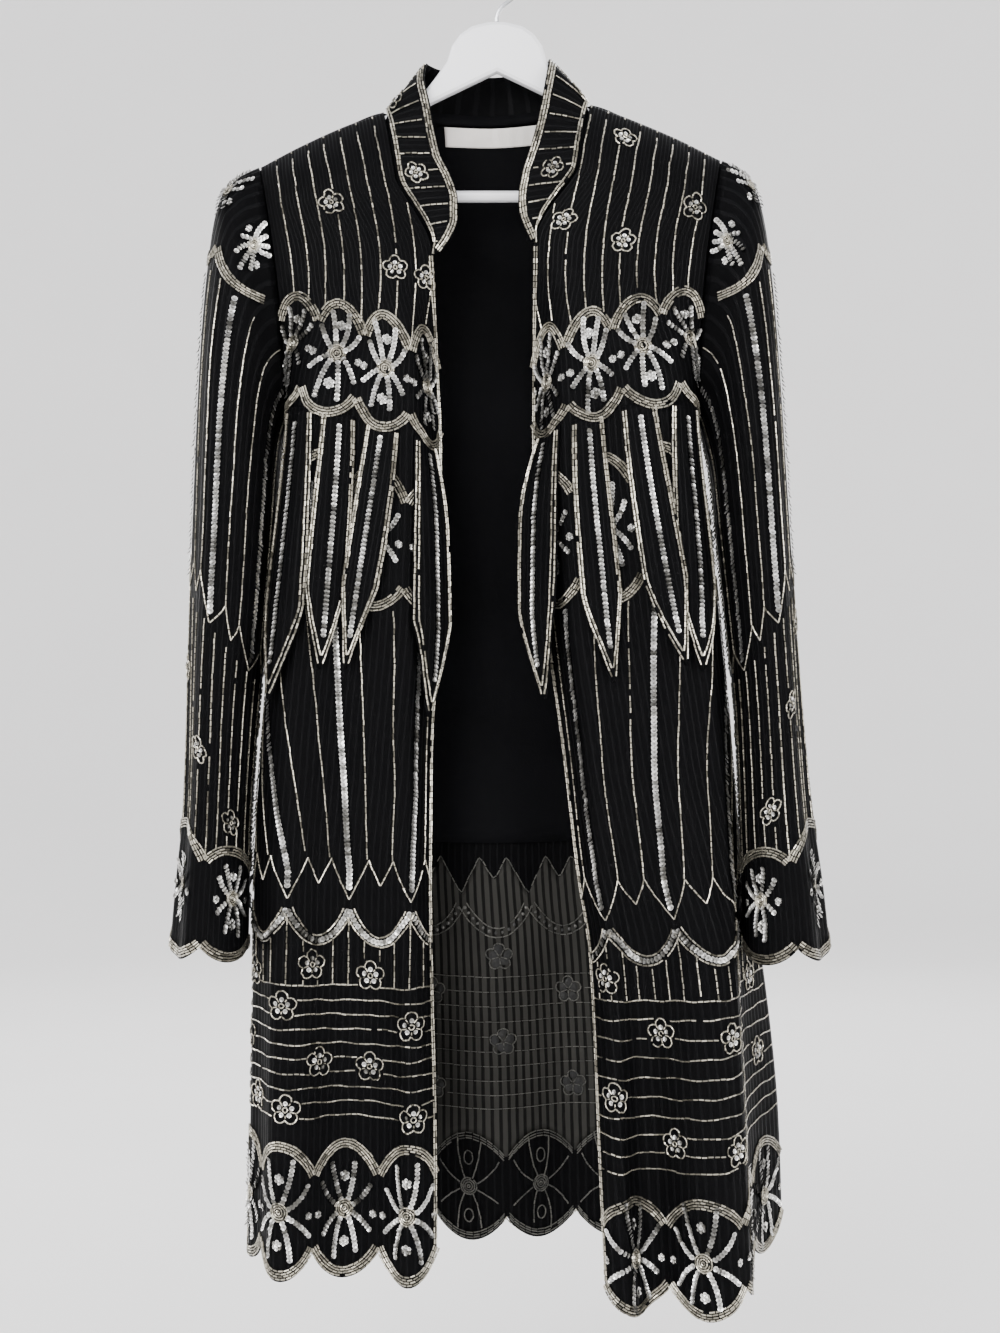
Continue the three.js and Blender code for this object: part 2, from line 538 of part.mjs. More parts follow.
// Sleeves
const SLEEVE_TURNS = CELLS_CUFF * SCALLOP_STEPS;
function sleevePoint(side, turn, along) {
  const start = { along: 0, ...ARMHOLES[side] };
  const rings = [start, ...SLEEVES[side]];
  const p = smoothPoint(rings.map((r) => r.along), rings.map((r) => ringPoint(r, turn).toArray()), along);
  const centre = smoothPoint(
    rings.map((r) => r.along),
    rings.map((r) => ringPoint(r, 0).add(ringPoint(r, 180)).multiplyScalar(0.5).toArray()),
    along,
  );
  const out = p.clone().sub(centre).normalize();
  for (const fold of SLEEVE_FOLDS) {
    const away = Math.abs(((turn - fold.turn + 540) % 360) - 180) / fold.width;
    if (away >= 1) continue;
    const grown = THREE.MathUtils.smoothstep(along, fold.from, fold.to);
    p.addScaledVector(out, fold.depth * grown * Math.cos((away * Math.PI) / 2) ** 2);
  }
  return p;
}
function addSleeve(name, side) {
  const outside = side === 'right' ? -1 : 1;
  const length = SLEEVES[side].at(-1).along;
  const shares = [0, 0.012, 0.03, 0.062, 0.1, 0.16, 0.25, 0.34, 0.43, 0.52, 0.61, 0.7, 0.79, 0.87, 0.94, 1];
  const grid = shares.map((share) => Array.from({ length: SLEEVE_TURNS }, (_, c) => {
    const end = length - scallop((c / SLEEVE_TURNS) * CELLS_CUFF, CUFF_RISE);
    const p = sleevePoint(side, (360 * c) / SLEEVE_TURNS, end * share);
    p.x += outside * 1.3 * (1 - share);
    return p;
  }));
  add(name, wallGeometry(grid, CLOTH, true), BEADED);
}
addSleeve('sleeve_right', 'right');
addSleeve('sleeve_left', 'left');

// Collar
function addCollar() {
  const stations = COLLAR.map((s) => {
    const seam = s.front ? panels[s.front].point(0, s.drop) : backNeck(s.at);
    const free = new THREE.Vector3(...s.free);
    const clear = s.front ? COLLAR_CLEAR.front : COLLAR_CLEAR.back;
    seam.addScaledVector(free.clone().sub(seam).normalize(), clear);
    return { seam, free };
  });
  const middle = new THREE.Vector3(-8, -4, -170);
  const grid = [0, 0.33, 0.67, 1].map((share) => stations.map(({ seam, free }) => {
    const p = seam.clone().lerp(free, share);
    const away = p.clone().sub(middle).setZ(0).normalize();
    return p.addScaledVector(away, COLLAR_CURVE * Math.sin(Math.PI * share) * 0.6);
  }));
  add('collar', wallGeometry(grid, CLOTH), BEADED);
}
const backNeck = (at) => smoothPoint(BACK_TOP.map((r) => r.at), BACK_TOP.map((r) => r.point), at);
addCollar();

// Linings hang inside the panels
const LINING_SHARES = [0, 0.03, 0.08, 0.16, 0.28, 0.4, 0.52, 0.64, 0.76, 0.88, 1];
add('lining_back', wallGeometry(panelGrid(panels.back, {
  columns: 24,
  shares: LINING_SHARES,
  from: 0.04,
  to: 0.96,
  top: (u) => 5 + 47 * THREE.MathUtils.smoothstep(Math.abs(u - 0.5), 0.1, 0.22),
  hem: () => BACK_LINING_DROP,
  off: -LINING_OFFSET,
}), LINING), CREPE);
for (const side of ['right', 'left']) {
  add(`lining_${side}`, wallGeometry(panelGrid(panels[side], {
    columns: 12,
    shares: LINING_SHARES,
    from: 0.05,
    to: 0.95,
    top: () => 60,
    hem: () => FRONT_LINING_DROP,
    off: -LINING_OFFSET,
  }), LINING), CREPE);
}

// Pointed tails under the chest band
function tailHalf(share) {
  const { rootHalf, bellyHalf, shoulder, tipHalf } = TAIL;
  if (share < shoulder) return THREE.MathUtils.lerp(rootHalf, bellyHalf, Math.sin((share / shoulder) * Math.PI * 0.5));
  return THREE.MathUtils.lerp(bellyHalf, tipHalf, ((share - shoulder) / (1 - shoulder)) ** 1.15);
}
function tailTurn(share) {
  return (Math.sin(Math.min(share / TAIL.turnOver, 1) * Math.PI * 0.5) * tailHalf(share)) / TAIL.bellyHalf;
}
function addTail(name, panel, rootOff, { root, tip, drop, off, turn = 0 }) {
  const shares = [0, 0.16, 0.33, 0.5, 0.66, 0.79, 0.9, 1];
  const grid = shares.map((share) => [-1, 0, 1].map((side) => {
    const at = TAIL_ROOT + (drop - TAIL_ROOT) * share;
    const u = THREE.MathUtils.lerp(root, tip, share) + (side * tailHalf(share)) / panel.width(at);
    const turned = (tailTurn(share) * turn * (1 - side)) / 2;
    const lift = THREE.MathUtils.lerp(rootOff, off, share) + TAIL.cup * (1 - side * side) * share + turned;
    return panel.point(THREE.MathUtils.clamp(u, 0.004, 0.996), at, lift);
  }));
  add(name, wallGeometry(grid, TAIL_WALL), TRIM);
}
for (const side of ['right', 'left']) {
  FRONT_TAILS[side].forEach((tail, k) => {
    addTail(`tail_${side}_${k + 1}`, panels[side], TAIL_ROOT_OFF.front, tail);
  });
}
BACK_TAILS.forEach((tail, k) => addTail(`tail_back_${k + 1}`, panels.back, TAIL_ROOT_OFF.back, tail));

// Blank label on the lining below the back neck
function addLabel() {
  const behind = LINING_OFFSET + LINING / 2 + LABEL.wall / 2 + LABEL.clear;
  const width = panels.back.width(20);
  const grid = [0, 0.5, 1].map((share) => [0, 0.25, 0.5, 0.75, 1].map((across) => {
    const u = 0.5 + ((across - 0.5) * LABEL.width) / width;
    return panels.back.point(u, LABEL.drop + LABEL.height * share, -behind);
  }));
  add('neck_label', wallGeometry(grid, LABEL.wall), SATIN);
}
addLabel();

// Hanger: a flat wooden board with a peak, sloping arms, a round bar and a steel hook
function boardOutline() {
  const top = SHOULDER.map(({ x, z }) => [x, z - BOARD.below]).filter(([x]) => x > 90);
  const under = [
    [BOARD.half, -192],
    [BOARD.half - 3, -212],
    [BOARD.half - 12, -219],
    [BAR.half, -217],
    [BAR.half, -203],
    [BAR.half - 10, -198],
    [140, -178],
    [100, -154],
    [54, -130],
  ];
  const half = [[8, -60.5], [22, -64], [32, -71], [39, -81], [43, -94], [52, -107], [60, -117], [70, -127.5],
    [80, -135.5], ...top, ...under];
  const right = half.map(([x, z]) => new THREE.Vector2(x, z));
  const left = half.map(([x, z]) => new THREE.Vector2(-x, z)).reverse();
  return [new THREE.Vector2(0, -60), ...right, new THREE.Vector2(0, -104), ...left];
}
function addBoard() {
  const board = new THREE.ExtrudeGeometry(new THREE.Shape(boardOutline()), {
    depth: BOARD.thick - 2 * BOARD.bevel,
    bevelThickness: BOARD.bevel,
    bevelSize: BOARD.bevel,
    bevelOffset: -BOARD.bevel,
    bevelSegments: 2,
  });
  board.rotateX(Math.PI / 2);
  board.translate(0, BOARD.thick / 2 - BOARD.bevel, 0);
  add('hanger_board', board, PAINT);
}
addBoard();

const bar = new THREE.CylinderGeometry(BAR.radius, BAR.radius, 2 * (BAR.half - SEAM_GAP), 16);
bar.rotateZ(Math.PI / 2);
bar.translate(0, 0, BAR.z);
add('hanger_bar', bar, PAINT);

function addHook() {
  const radius = HOOK.inside + HOOK.rod;
  const centre = -HOOK.inside;
  const points = [[0, HOOK.foot + 3.4], [0, -54], [3.5, -47.5]];
  for (let turn = -52; turn <= 190; turn += 22) {
    const a = THREE.MathUtils.degToRad(turn);
    points.push([radius * Math.cos(a), centre + radius * Math.sin(a)]);
  }
  const path = new THREE.CatmullRomCurve3(points.map(([x, z]) => new THREE.Vector3(x, 0, z)));
  const section = new THREE.Shape();
  section.absarc(0, 0, HOOK.rod, 0, 2 * Math.PI);
  const hook = new THREE.ExtrudeGeometry(section, { steps: 34, extrudePath: path, curveSegments: 5 });
  add('hanger_hook', hook, STEEL);
}
addHook();

export default jacket;
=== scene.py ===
"""A beaded duster jacket on a white hanger: sheer black cloth with scalloped hems, a narrow collar, long
sleeves, pointed tails under a chest band, and bugle beads and sequins sewn over all of it.

The cloth is worked out here in millimetres from the jacket's own sections, as its solids are. Right and
left are the wearer's, so the right side is at -X. A drop is a length of cloth below the shoulder seam."""
import math

import bpy
import numpy as np
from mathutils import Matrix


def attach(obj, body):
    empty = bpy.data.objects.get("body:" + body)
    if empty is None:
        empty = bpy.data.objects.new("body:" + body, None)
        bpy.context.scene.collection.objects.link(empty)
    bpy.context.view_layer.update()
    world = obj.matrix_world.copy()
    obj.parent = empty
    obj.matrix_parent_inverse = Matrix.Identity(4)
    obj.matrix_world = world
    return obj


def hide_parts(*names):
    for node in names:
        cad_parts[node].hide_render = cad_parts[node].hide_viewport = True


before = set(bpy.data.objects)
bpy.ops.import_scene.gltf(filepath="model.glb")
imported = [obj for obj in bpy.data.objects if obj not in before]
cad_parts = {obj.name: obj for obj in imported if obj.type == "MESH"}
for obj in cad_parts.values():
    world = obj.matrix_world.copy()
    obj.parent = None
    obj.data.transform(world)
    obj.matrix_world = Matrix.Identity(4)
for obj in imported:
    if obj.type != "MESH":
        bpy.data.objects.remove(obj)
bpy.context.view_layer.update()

bl_info = {
    "name": "Beaded duster jacket",
    "version": (1, 0, 0),
    "blender": (4, 5, 0),
    "location": "3D View > Sidebar > Jacket",
    "description": "Dresses the jacket's frame in cloth, beads and sequins, and sets the stage",
    "category": "Object",
}

MM = 0.001
BODY = "root"
RIGHT_LEFT = ("right", "left")

# The jacket's cut
CLOTH = 1.4  # wall of the beaded cloth
LINING = 1.1
TAIL_WALL = 1.2
SEAM_HOLD = 0.55  # how far a panel stops short of its side seam
SHOULDER_HOLD = 0.8
CELLS = {"right": 4, "left": 4, "back": 8, "cuff": 4}  # scallops across each piece
SCALLOP_RISE = 26  # height of the hem's scallops
CUFF_RISE = 14
SHOULDER_FALL = 66  # drop at which the cloth has come over the hanger and hangs
ARMHOLE_DROP = 295
HEM_DROP = 987
WEAVE_WIDTH = {"right": 240, "left": 240, "back": 480, "sleeve": 290}  # what the weave is counted over
PANEL_ROWS = 150
STEPS_PER_CELL = 16
LINING_OFFSET = 3.7
BACK_LINING_DROP = 628
FRONT_LINING_DROP = 642
TAIL_ROOT = 292
TAIL = {"root_half": 14, "belly_half": 17.5, "shoulder": 0.66, "tip_half": 0.5, "cup": 2.5,
        "turn_over": 0.33}
TAIL_ROOT_OFF = {"right": 2.3, "left": 2.3, "back": 1.95}
LABEL = {"width": 80, "height": 18, "wall": 0.8, "drop": 6, "clear": 1.0}
COLLAR_CLEAR = {"front": 2.45, "back": 1.2}
COLLAR_CURVE = 3  # how far the collar's middle stands off the straight line across it
COLLAR_MIDDLE = (-8, -4, -170)

RING = ("top", "front", "under", "back")  # the four points that a ring runs through
ARMHOLES = {
    "right": dict(zip(RING, ((-203, 0, -186), (-186, -34, -285), (-178, 2, -402), (-188, 34, -285)))),
    "left": dict(zip(RING, ((192, 0, -180), (176, -34, -282), (170, 2, -400), (178, 34, -282)))),
}
# Degrees round its armhole, from the top, that a panel has come at each drop
ARMHOLE_TURN = {"drop": (0, 66, 131, 213, 295), "turn": (0, 62, 84, 108, 180)}

SIDE_SEAMS = {
    "right": ((-178, 2, -402), (-191, 5, -560), (-203, 8, -688), (-208, 10, -778), (-209, 12, -848),
              (-213, 14, -995), (-215, 15, -1112)),
    "left": ((170, 2, -400), (190, 5, -560), (202, 8, -690), (214, 26, -778), (229, 36, -848),
             (247, 38, -1008), (251, 40, -1114)),
}
# Sections of each front from its edge to its armhole or side seam, top to hem
FRONT_COLUMNS = {"edge": 0, "inner": 0.25, "outer": 0.62, "side": 0.84, "seam": 1}
FRONT_DROPS = (0, 66, 131, 213, 295, 438, 563, 648, 717, 864, 987)
FRONTS = {
    "right": {
        "edge": ((-97, 0, -137.5), (-85, -33, -203), (-53, -34, -268), (-51, -18, -350), (-48, -13, -432),
                 (-50, -11, -575), (-56, -13, -700), (-56, -22, -785), (-55, -27, -855), (-51, -40, -1001),
                 (-50, -48, -1126)),
        "inner": ((-133, 0, -151), (-118, -37, -212), (-94, -42, -270), (-77, -50, -340), (-74, -52, -422),
                  (-77, -52, -570), (-83, -50, -698), (-86, -48, -785), (-86, -50, -855), (-84, -58, -1003),
                  (-84, -66, -1128)),
        "outer": ((-170, 0, -168), (-160, -38, -224), (-148, -42, -272), (-142, -50, -323), (-148, -53, -402),
                  (-162, -54, -562), (-174, -52, -691), (-180, -50, -780), (-182, -50, -850), (-184, -54, -998),
                  (-186, -58, -1120)),
        "side": ((-190, 0, -178.5), (-180, -36, -230), (-174, -38, -273), (-172, -38, -316), (-174, -34, -400),
                 (-187, -30, -560), (-199, -26, -689), (-205, -24, -779), (-206, -22, -849), (-209, -20, -996),
                 (-211, -20, -1115)),
        "seam": SIDE_SEAMS["right"],
    },
    "left": {
        "edge": ((80, 0, -131), (69, -33, -193), (30, -34, -260), (31, -18, -349), (31, -14, -424),
                 (41, -14, -566), (57, -20, -690), (68, -34, -788), (78, -45, -856), (85, -75, -1035),
                 (89, -92, -1137)),
        "inner": ((116, 0, -144.5), (103, -37, -204), (72, -42, -263), (60, -50, -338), (60, -52, -413),
                  (70, -54, -563), (86, -60, -691), (98, -70, -789), (106, -80, -857), (114, -103, -1038),
                  (120, -112, -1141)),
        "outer": ((156, 0, -161.5), (148, -38, -217), (136, -42, -268), (128, -50, -318), (136, -53, -396),
                  (158, -55, -558), (176, -60, -690), (186, -66, -785), (192, -78, -853), (199, -98, -1032),
                  (202, -108, -1137)),
        "side": ((178, 0, -172.5), (170, -36, -225), (165, -38, -270), (162, -38, -311), (166, -34, -398),
                 (184, -32, -558), (197, -30, -690), (201, -28, -780), (203, -26, -850), (210, -36, -1018),
                 (214, -42, -1124)),
        "seam": SIDE_SEAMS["left"],
    },
}

# Sections of the back from the right armhole or side seam to the left one, top to hem
BACK_COLUMNS = {"seam_right": 0, "side_right": 0.09, "right": 0.29, "centre": 0.5, "left": 0.71,
                "side_left": 0.91, "seam_left": 1}
BACK_DROPS = (66, 131, 213, 295, 438, 563, 648, 717, 864, 987)
BACK = {
    "seam_right": SIDE_SEAMS["right"],
    "side_right": ((-180, 33, -232), (-175, 39, -273), (-172, 40, -320), (-172, 28, -406), (-186, 30, -562),
                   (-198, 32, -690), (-203, 35, -780), (-204, 37, -850), (-207, 41, -998), (-209, 43, -1114)),
    "right": ((-100, 32, -206), (-100, 38, -271), (-98, 42, -353), (-96, 46, -435), (-104, 48, -578),
              (-111, 50, -703), (-115, 52, -788), (-117, 54, -857), (-121, 58, -1013), (-123, 62, -1121)),
    "centre": ((-6, 30, -208), (-5, 34, -273), (-4, 38, -355), (-4, 40, -437), (0, 40, -580),
               (4, 42, -705), (7, 44, -789), (9, 46, -858), (12, 52, -1015), (14, 55, -1122)),
    "left": ((88, 32, -202), (88, 38, -267), (88, 42, -349), (90, 46, -431), (98, 50, -575),
             (110, 52, -700), (118, 56, -786), (124, 60, -855), (130, 68, -1012), (133, 72, -1120)),
    "side_left": ((171, 33, -227), (166, 39, -270), (162, 40, -316), (164, 28, -404), (184, 31, -562),
                  (197, 35, -692), (206, 47, -781), (216, 57, -851), (231, 62, -1010), (234, 66, -1116)),
    "seam_left": SIDE_SEAMS["left"],
}
# The back's top edge: shoulder seam, back neck, shoulder seam
BACK_TOP = {
    "at": (0, 0.1, 0.21, 0.31, 0.33, 0.4, 0.5, 0.6, 0.67, 0.69, 0.79, 0.9, 1),
    "point": ((-203, 0, -186), (-170, 0, -168), (-133, 0, -151), (-97, 0, -137.5), (-92.5, 7.5, -137.7),
              (-60, 19, -139), (-8, 25, -141), (43, 19, -137), (75.5, 7.5, -131.6), (80, 0, -131),
              (116, 0, -144.5), (156, 0, -161.5), (192, 0, -180)),
}

# Standing folds: where across the section, how wide, how far out (- is in), and the drops between
# which each grows. A fold runs down to the hem.
FOLDS = {
    "right": ((0.1, 0.16, 6, 300, 700), (0.36, 0.2, -22, 420, 980), (0.56, 0.18, 12, 470, 980),
              (0.74, 0.14, -12, 520, 980), (0.45, 0.12, -5, 140, 260), (0.9, 0.1, -6, 600, 980)),
    "left": ((0.06, 0.12, 7, 560, 900), (0.3, 0.17, -34, 420, 980), (0.48, 0.16, 6, 480, 980),
             (0.4, 0.12, -5, 140, 260), (0.62, 0.1, -6, 330, 620), (0.92, 0.08, -7, 700, 980)),
    "back": ((0.12, 0.12, 10, 320, 900), (0.24, 0.12, -12, 360, 960), (0.36, 0.12, 11, 300, 900),
             (0.47, 0.11, -10, 420, 960), (0.58, 0.11, 9, 380, 900), (0.68, 0.11, -12, 340, 960),
             (0.79, 0.12, 12, 320, 900), (0.9, 0.1, -8, 400, 960)),
}
# Soft creases laid over the folds: where across at the top and at the end of the crease, half-width in
# millimetres, depth, and the drops between which it runs
CREASES = {
    "right": ((0.86, 0.66, 9, -1.1, 60, 250), (0.74, 0.5, 8, 0.9, 90, 270), (0.18, 0.24, 7, 0.9, 330, 560),
              (0.52, 0.48, 9, -1.1, 520, 820), (0.66, 0.7, 7, 1.0, 600, 960), (0.84, 0.82, 8, -1.0, 420, 760),
              (0.2, 0.16, 8, -1.0, 640, 940)),
    "left": ((0.84, 0.62, 9, -1.1, 60, 240), (0.7, 0.52, 8, 0.9, 100, 280), (0.16, 0.2, 7, 0.9, 350, 600),
             (0.6, 0.64, 9, 1.1, 560, 900), (0.76, 0.72, 8, -1.0, 480, 800), (0.42, 0.4, 6, 0.9, 660, 960),
             (0.12, 0.14, 7, -1.0, 700, 960)),
    "back": ((0.06, 0.2, 10, -1.1, 60, 250), (0.94, 0.8, 10, -1.1, 60, 250), (0.42, 0.4, 9, 1.0, 120, 330),
             (0.56, 0.6, 9, -1.0, 150, 360), (0.3, 0.28, 8, 1.0, 520, 860), (0.52, 0.53, 8, 1.1, 560, 940),
             (0.74, 0.72, 9, 1.0, 480, 900), (0.18, 0.19, 8, -1.0, 600, 960), (0.86, 0.85, 8, 1.0, 640, 960)),
}

# Rings of each sleeve by their outer, front, inner and back points, armhole to cuff
SLEEVE_LENGTH = 652
SLEEVE_ALONG = (14, 40, 90, 170, 280, 400, 520, 600, SLEEVE_LENGTH)
SLEEVES = {
    "right": {
        "top": ((-219, 0, -194), (-236, 0, -215), (-244, -2, -262), (-251, -4, -345), (-257, -6, -470),
                (-261, -8, -595), (-265, -10, -725), (-272, -12, -800), (-277, -13, -857)),
        "front": ((-196, -42, -289), (-208, -55, -305), (-216, -64, -345), (-222, -70, -415), (-227, -72, -520),
                  (-234, -70, -630), (-239, -68, -745), (-243, -67, -808), (-246, -66, -859)),
        "under": ((-182, 2, -411), (-185, 1, -428), (-187, -1, -452), (-190, -4, -500), (-196, -8, -575),
                  (-205, -12, -665), (-211, -15, -762), (-212, -16, -815), (-213, -16, -861)),
        "back": ((-198, 41, -289), (-208, 51, -305), (-214, 56, -345), (-220, 56, -415), (-226, 52, -520),
                 (-233, 46, -630), (-238, 40, -745), (-242, 36, -808), (-245, 34, -859)),
    },
    "left": {
        "top": ((207, 0, -188), (222, 0, -211), (231, -2, -262), (238, -4, -345), (246, -6, -470),
                (254, -9, -595), (265, -14, -725), (275, -18, -800), (281, -20, -857)),
        "front": ((186, -42, -286), (198, -55, -303), (206, -64, -343), (214, -70, -413), (222, -73, -520),
                  (230, -75, -630), (237, -78, -745), (243, -80, -808), (247, -80, -859)),
        "under": ((174, 2, -409), (178, 1, -426), (183, -1, -450), (188, -4, -500), (196, -9, -575),
                  (204, -17, -665), (207, -26, -762), (208, -31, -815), (209, -32, -861)),
        "back": ((188, 41, -286), (198, 51, -303), (205, 56, -343), (212, 56, -413), (220, 50, -520),
                 (229, 38, -630), (236, 26, -745), (241, 18, -808), (244, 14, -859)),
    },
}
# Soft creases of the sleeves: at the ring's turn in degrees, half-width, depth, along the sleeve
SLEEVE_FOLDS = ((40, 26, -5, 60, 640), (75, 24, 4, 200, 640), (250, 28, -6, 100, 600), (315, 26, 5, 160, 640),
                (110, 14, -0.9, 180, 420), (150, 16, 0.9, 320, 600), (20, 12, 0.8, 240, 480),
                (210, 15, -0.9, 60, 300), (340, 13, -0.8, 360, 620))

# Collar stations from the right front's tip round the back neck to the left front's tip: the drop of
# its seam on that front, or the share across the back neck, and its free edge
COLLAR = (
    ("right", 130, (-48, -37, -266)), ("right", 118, (-39, -37, -254)), ("right", 104, (-33, -37, -237)),
    ("right", 86, (-33, -36, -221)), ("right", 66, (-39, -34, -201)), ("right", 47, (-48, -31, -182)),
    ("right", 30, (-52, -27, -165)), ("right", 12, (-57, -21, -136)), ("right", 1, (-62, -10, -111)),
    ("back", 0.34, (-60, 6, -94)), ("back", 0.4, (-44, 22, -96)), ("back", 0.5, (-7, 29, -99)),
    ("back", 0.6, (30, 23, -96)), ("back", 0.66, (45, 8, -90)), ("left", 1, (44, -8, -98)),
    ("left", 12, (40, -19, -122)), ("left", 30, (34, -26, -154)), ("left", 47, (28, -30, -176)),
    ("left", 66, (21, -33, -199)), ("left", 86, (18, -35, -220)), ("left", 104, (20, -36, -237)),
    ("left", 118, (25, -37, -248)), ("left", 130, (29, -37, -256)),
)

# Tails under the chest band: their middle at the root and at the tip, across the panel, the drop of
# the tip and how far the tip stands off the cloth. The tail beside the opening turns to the front.
TAIL_TURN = {"right": 11, "left": 17}  # how much further out its inner edge stands
TAILS = {
    "right": ((0.155, 0.13, 520, 8), (0.36, 0.46, 486, 11), (0.56, 0.57, 488, 6), (0.74, 0.72, 516, 11)),
    "left": ((0.145, 0.06, 514, 16), (0.33, 0.32, 502, 6), (0.55, 0.6, 490, 12), (0.75, 0.68, 494, 5)),
    "back": ((0.13, 0.14, 505, 7), (0.24, 0.22, 492, 9), (0.345, 0.36, 510, 7), (0.448, 0.44, 498, 9),
             (0.552, 0.56, 506, 8), (0.655, 0.65, 490, 9), (0.76, 0.78, 508, 7), (0.87, 0.86, 495, 8)),
}


# Curves and surfaces

def smooth(xs, ys, x):
    """A cubic through a table that never overshoots it. ys may hold points or whole rows of points."""
    xs, ys, x = (np.asarray(v, float) for v in (xs, ys, x))
    column = (-1,) + (1,) * (ys.ndim - 1)
    step = np.diff(xs)
    slope = np.diff(ys, axis=0) / step.reshape(column)
    before, after = slope[:-1], slope[1:]
    agree = before * after > 0
    tangent = np.concatenate([
        slope[:1],
        np.where(agree, 2 * before * after / np.where(agree, before + after, 1), 0),
        slope[-1:],
    ])
    k = np.clip(np.searchsorted(xs, x) - 1, 0, len(xs) - 2)
    h = step[k].reshape(column)
    t = ((np.clip(x, xs[0], xs[-1]) - xs[k]) / step[k]).reshape(column)
    rise = ys[k + 1] - ys[k]
    a = h * tangent[k] - rise
    b = rise - h * tangent[k + 1]
    return ys[k] + rise * t + t * (1 - t) * (a * (1 - t) + b * t)


def mix(a, b, share):
    return a + (b - a) * share


def ease(x, low, high):
    t = np.clip((x - low) / (high - low), 0, 1)
    return t * t * (3 - 2 * t)


def unit(vectors):
    return vectors / np.maximum(np.linalg.norm(vectors, axis=-1, keepdims=True), 1e-9)


def scallop(cell, rise):
    """How far a scalloped edge stands above its lows, at a place counted in scallops."""
    return rise * (1 - np.abs(np.sin(np.pi * np.asarray(cell, float))) ** 0.75)


def scalloped(cell, low, cusp):
    """A scalloped level: low at the middle of each cell and cusp at its ends."""
    return low + scallop(cell, cusp - low)


def ring_point(ring, turn):
    """A closed ring through four points: turn 0 is its top, 90 the front, 180 the underarm, 270 the back."""
    top, front, under, back = (np.asarray(ring[key], float)[..., None, :] for key in RING)
    a = np.radians(np.asarray(turn, float))[:, None]
    middle = (top + front + under + back) / 4
    squash = (top + under - front - back) / 4
    return middle + (top - under) / 2 * np.cos(a) + (front - back) / 2 * np.sin(a) + squash * np.cos(2 * a)


class Surface:
    """A piece of cloth as a dense table of its middle and of its outward directions."""

    def __init__(self, points, across, down, facing, closed=False):
        self.points, self.across, self.down, self.closed = points, across, down, closed
        if closed:
            padded = np.concatenate([points[:, -2:-1], points, points[:, 1:2]], axis=1)
            over = (padded[:, 2:] - padded[:, :-2]) / 2
        else:
            over = np.gradient(points, axis=1)
        fall = np.gradient(points, axis=0)
        self.normals = unit(np.cross(over, fall)) * facing
        self.over = np.linalg.norm(over, axis=-1) / (across[1] - across[0])
        self.fall = np.linalg.norm(fall, axis=-1) / (down[1] - down[0])

    def read(self, table, u, drop):
        u, drop = np.broadcast_arrays(np.asarray(u, float), np.asarray(drop, float))
        if self.closed:
            u = np.mod(u, 360)
        x = np.clip((u - self.across[0]) / (self.across[1] - self.across[0]), 0, len(self.across) - 1.001)
        y = np.clip((drop - self.down[0]) / (self.down[1] - self.down[0]), 0, len(self.down) - 1.001)
        i, j = y.astype(int), x.astype(int)
        shape = u.shape + (1,) * (table.ndim - 2)
        fy, fx = (y - i).reshape(shape), (x - j).reshape(shape)
        low = mix(table[i, j], table[i, j + 1], fx)
        high = mix(table[i + 1, j], table[i + 1, j + 1], fx)
        return mix(low, high, fy)

    def at(self, u, drop, off=0.0):
        """Points of the cloth, moved outward by off."""
        place = self.read(self.points, u, drop)
        if np.ndim(off) == 0 and off == 0:
            return place
        return place + self.normal(u, drop) * np.asarray(off, float)[..., None]

    def normal(self, u, drop):
        return unit(self.read(self.normals, u, drop))

    def width(self, drop):
        """Length of the cloth across, at each drop."""
        rows = np.linalg.norm(np.diff(self.points, axis=1), axis=-1).sum(axis=1)
        return np.interp(drop, self.down, rows)

    def near(self, u, drop, x, y):
        """Table places of points given in millimetres across (x) and up (y) from a place."""
        across = np.asarray(x) / self.read(self.over, u, drop)
        up = np.asarray(y) / self.read(self.fall, u, drop)
        return u + across, drop - up


ROW_STEP = 3.0
DROPS = np.arange(0, HEM_DROP + ROW_STEP, ROW_STEP)
ARMHOLE_TURNS = smooth(ARMHOLE_TURN["drop"], ARMHOLE_TURN["turn"], DROPS)


def fall_over(start, end, share):
    """Cloth that comes over the hanger: it moves out of the shoulder seam first, then falls."""
    return np.concatenate([
        mix(start[..., :1], end[..., :1], share),
        mix(start[..., 1:2], end[..., 1:2], 1 - (1 - share) ** 1.8),
        mix(start[..., 2:], end[..., 2:], share ** 1.15),
    ], axis=-1)


def column_points(drops, points, start=None):
    """One column of a table of sections, at every drop of the surface."""
    low = [(d, p) for d, p in zip(drops[-len(points):], points) if d >= SHOULDER_FALL]
    column = smooth([d for d, _ in low], [p for _, p in low], DROPS)
    if start is not None:
        above = DROPS < SHOULDER_FALL
        share = (DROPS[above] / SHOULDER_FALL)[:, None]
        column[above] = fall_over(np.asarray(start, float), np.asarray(low[0][1], float), share)
    return column


def armhole_column(side, turn_sign, below):
    """The armhole's loop down to the underarm, then the side seam."""
    loop = ring_point(ARMHOLES[side], turn_sign * ARMHOLE_TURNS)
    return np.where((DROPS < ARMHOLE_DROP)[:, None], loop, column_points(FRONT_DROPS, below))


def fold_out(folds, w, drops):
    out = np.zeros((len(drops), len(w)))
    for at, width, depth, start, full in folds:
        near = np.clip(np.abs(w - at) / width, 0, 1)
        out += depth * ease(drops, start, full)[:, None] * np.cos(near * np.pi / 2) ** 2
    return out


def crease_out(creases, w, drops, widths):
    out = np.zeros((len(drops), len(w)))
    for top_at, end_at, half, depth, start, end in creases:
        share = np.clip((drops - start) / (end - start), 0, 1)
        middle = mix(top_at, end_at, share)
        away = np.abs(w[None, :] - middle[:, None]) * widths[:, None] / half
        out += depth * (np.sin(np.pi * share) ** 0.8)[:, None] * np.exp(-away ** 2)
    return out


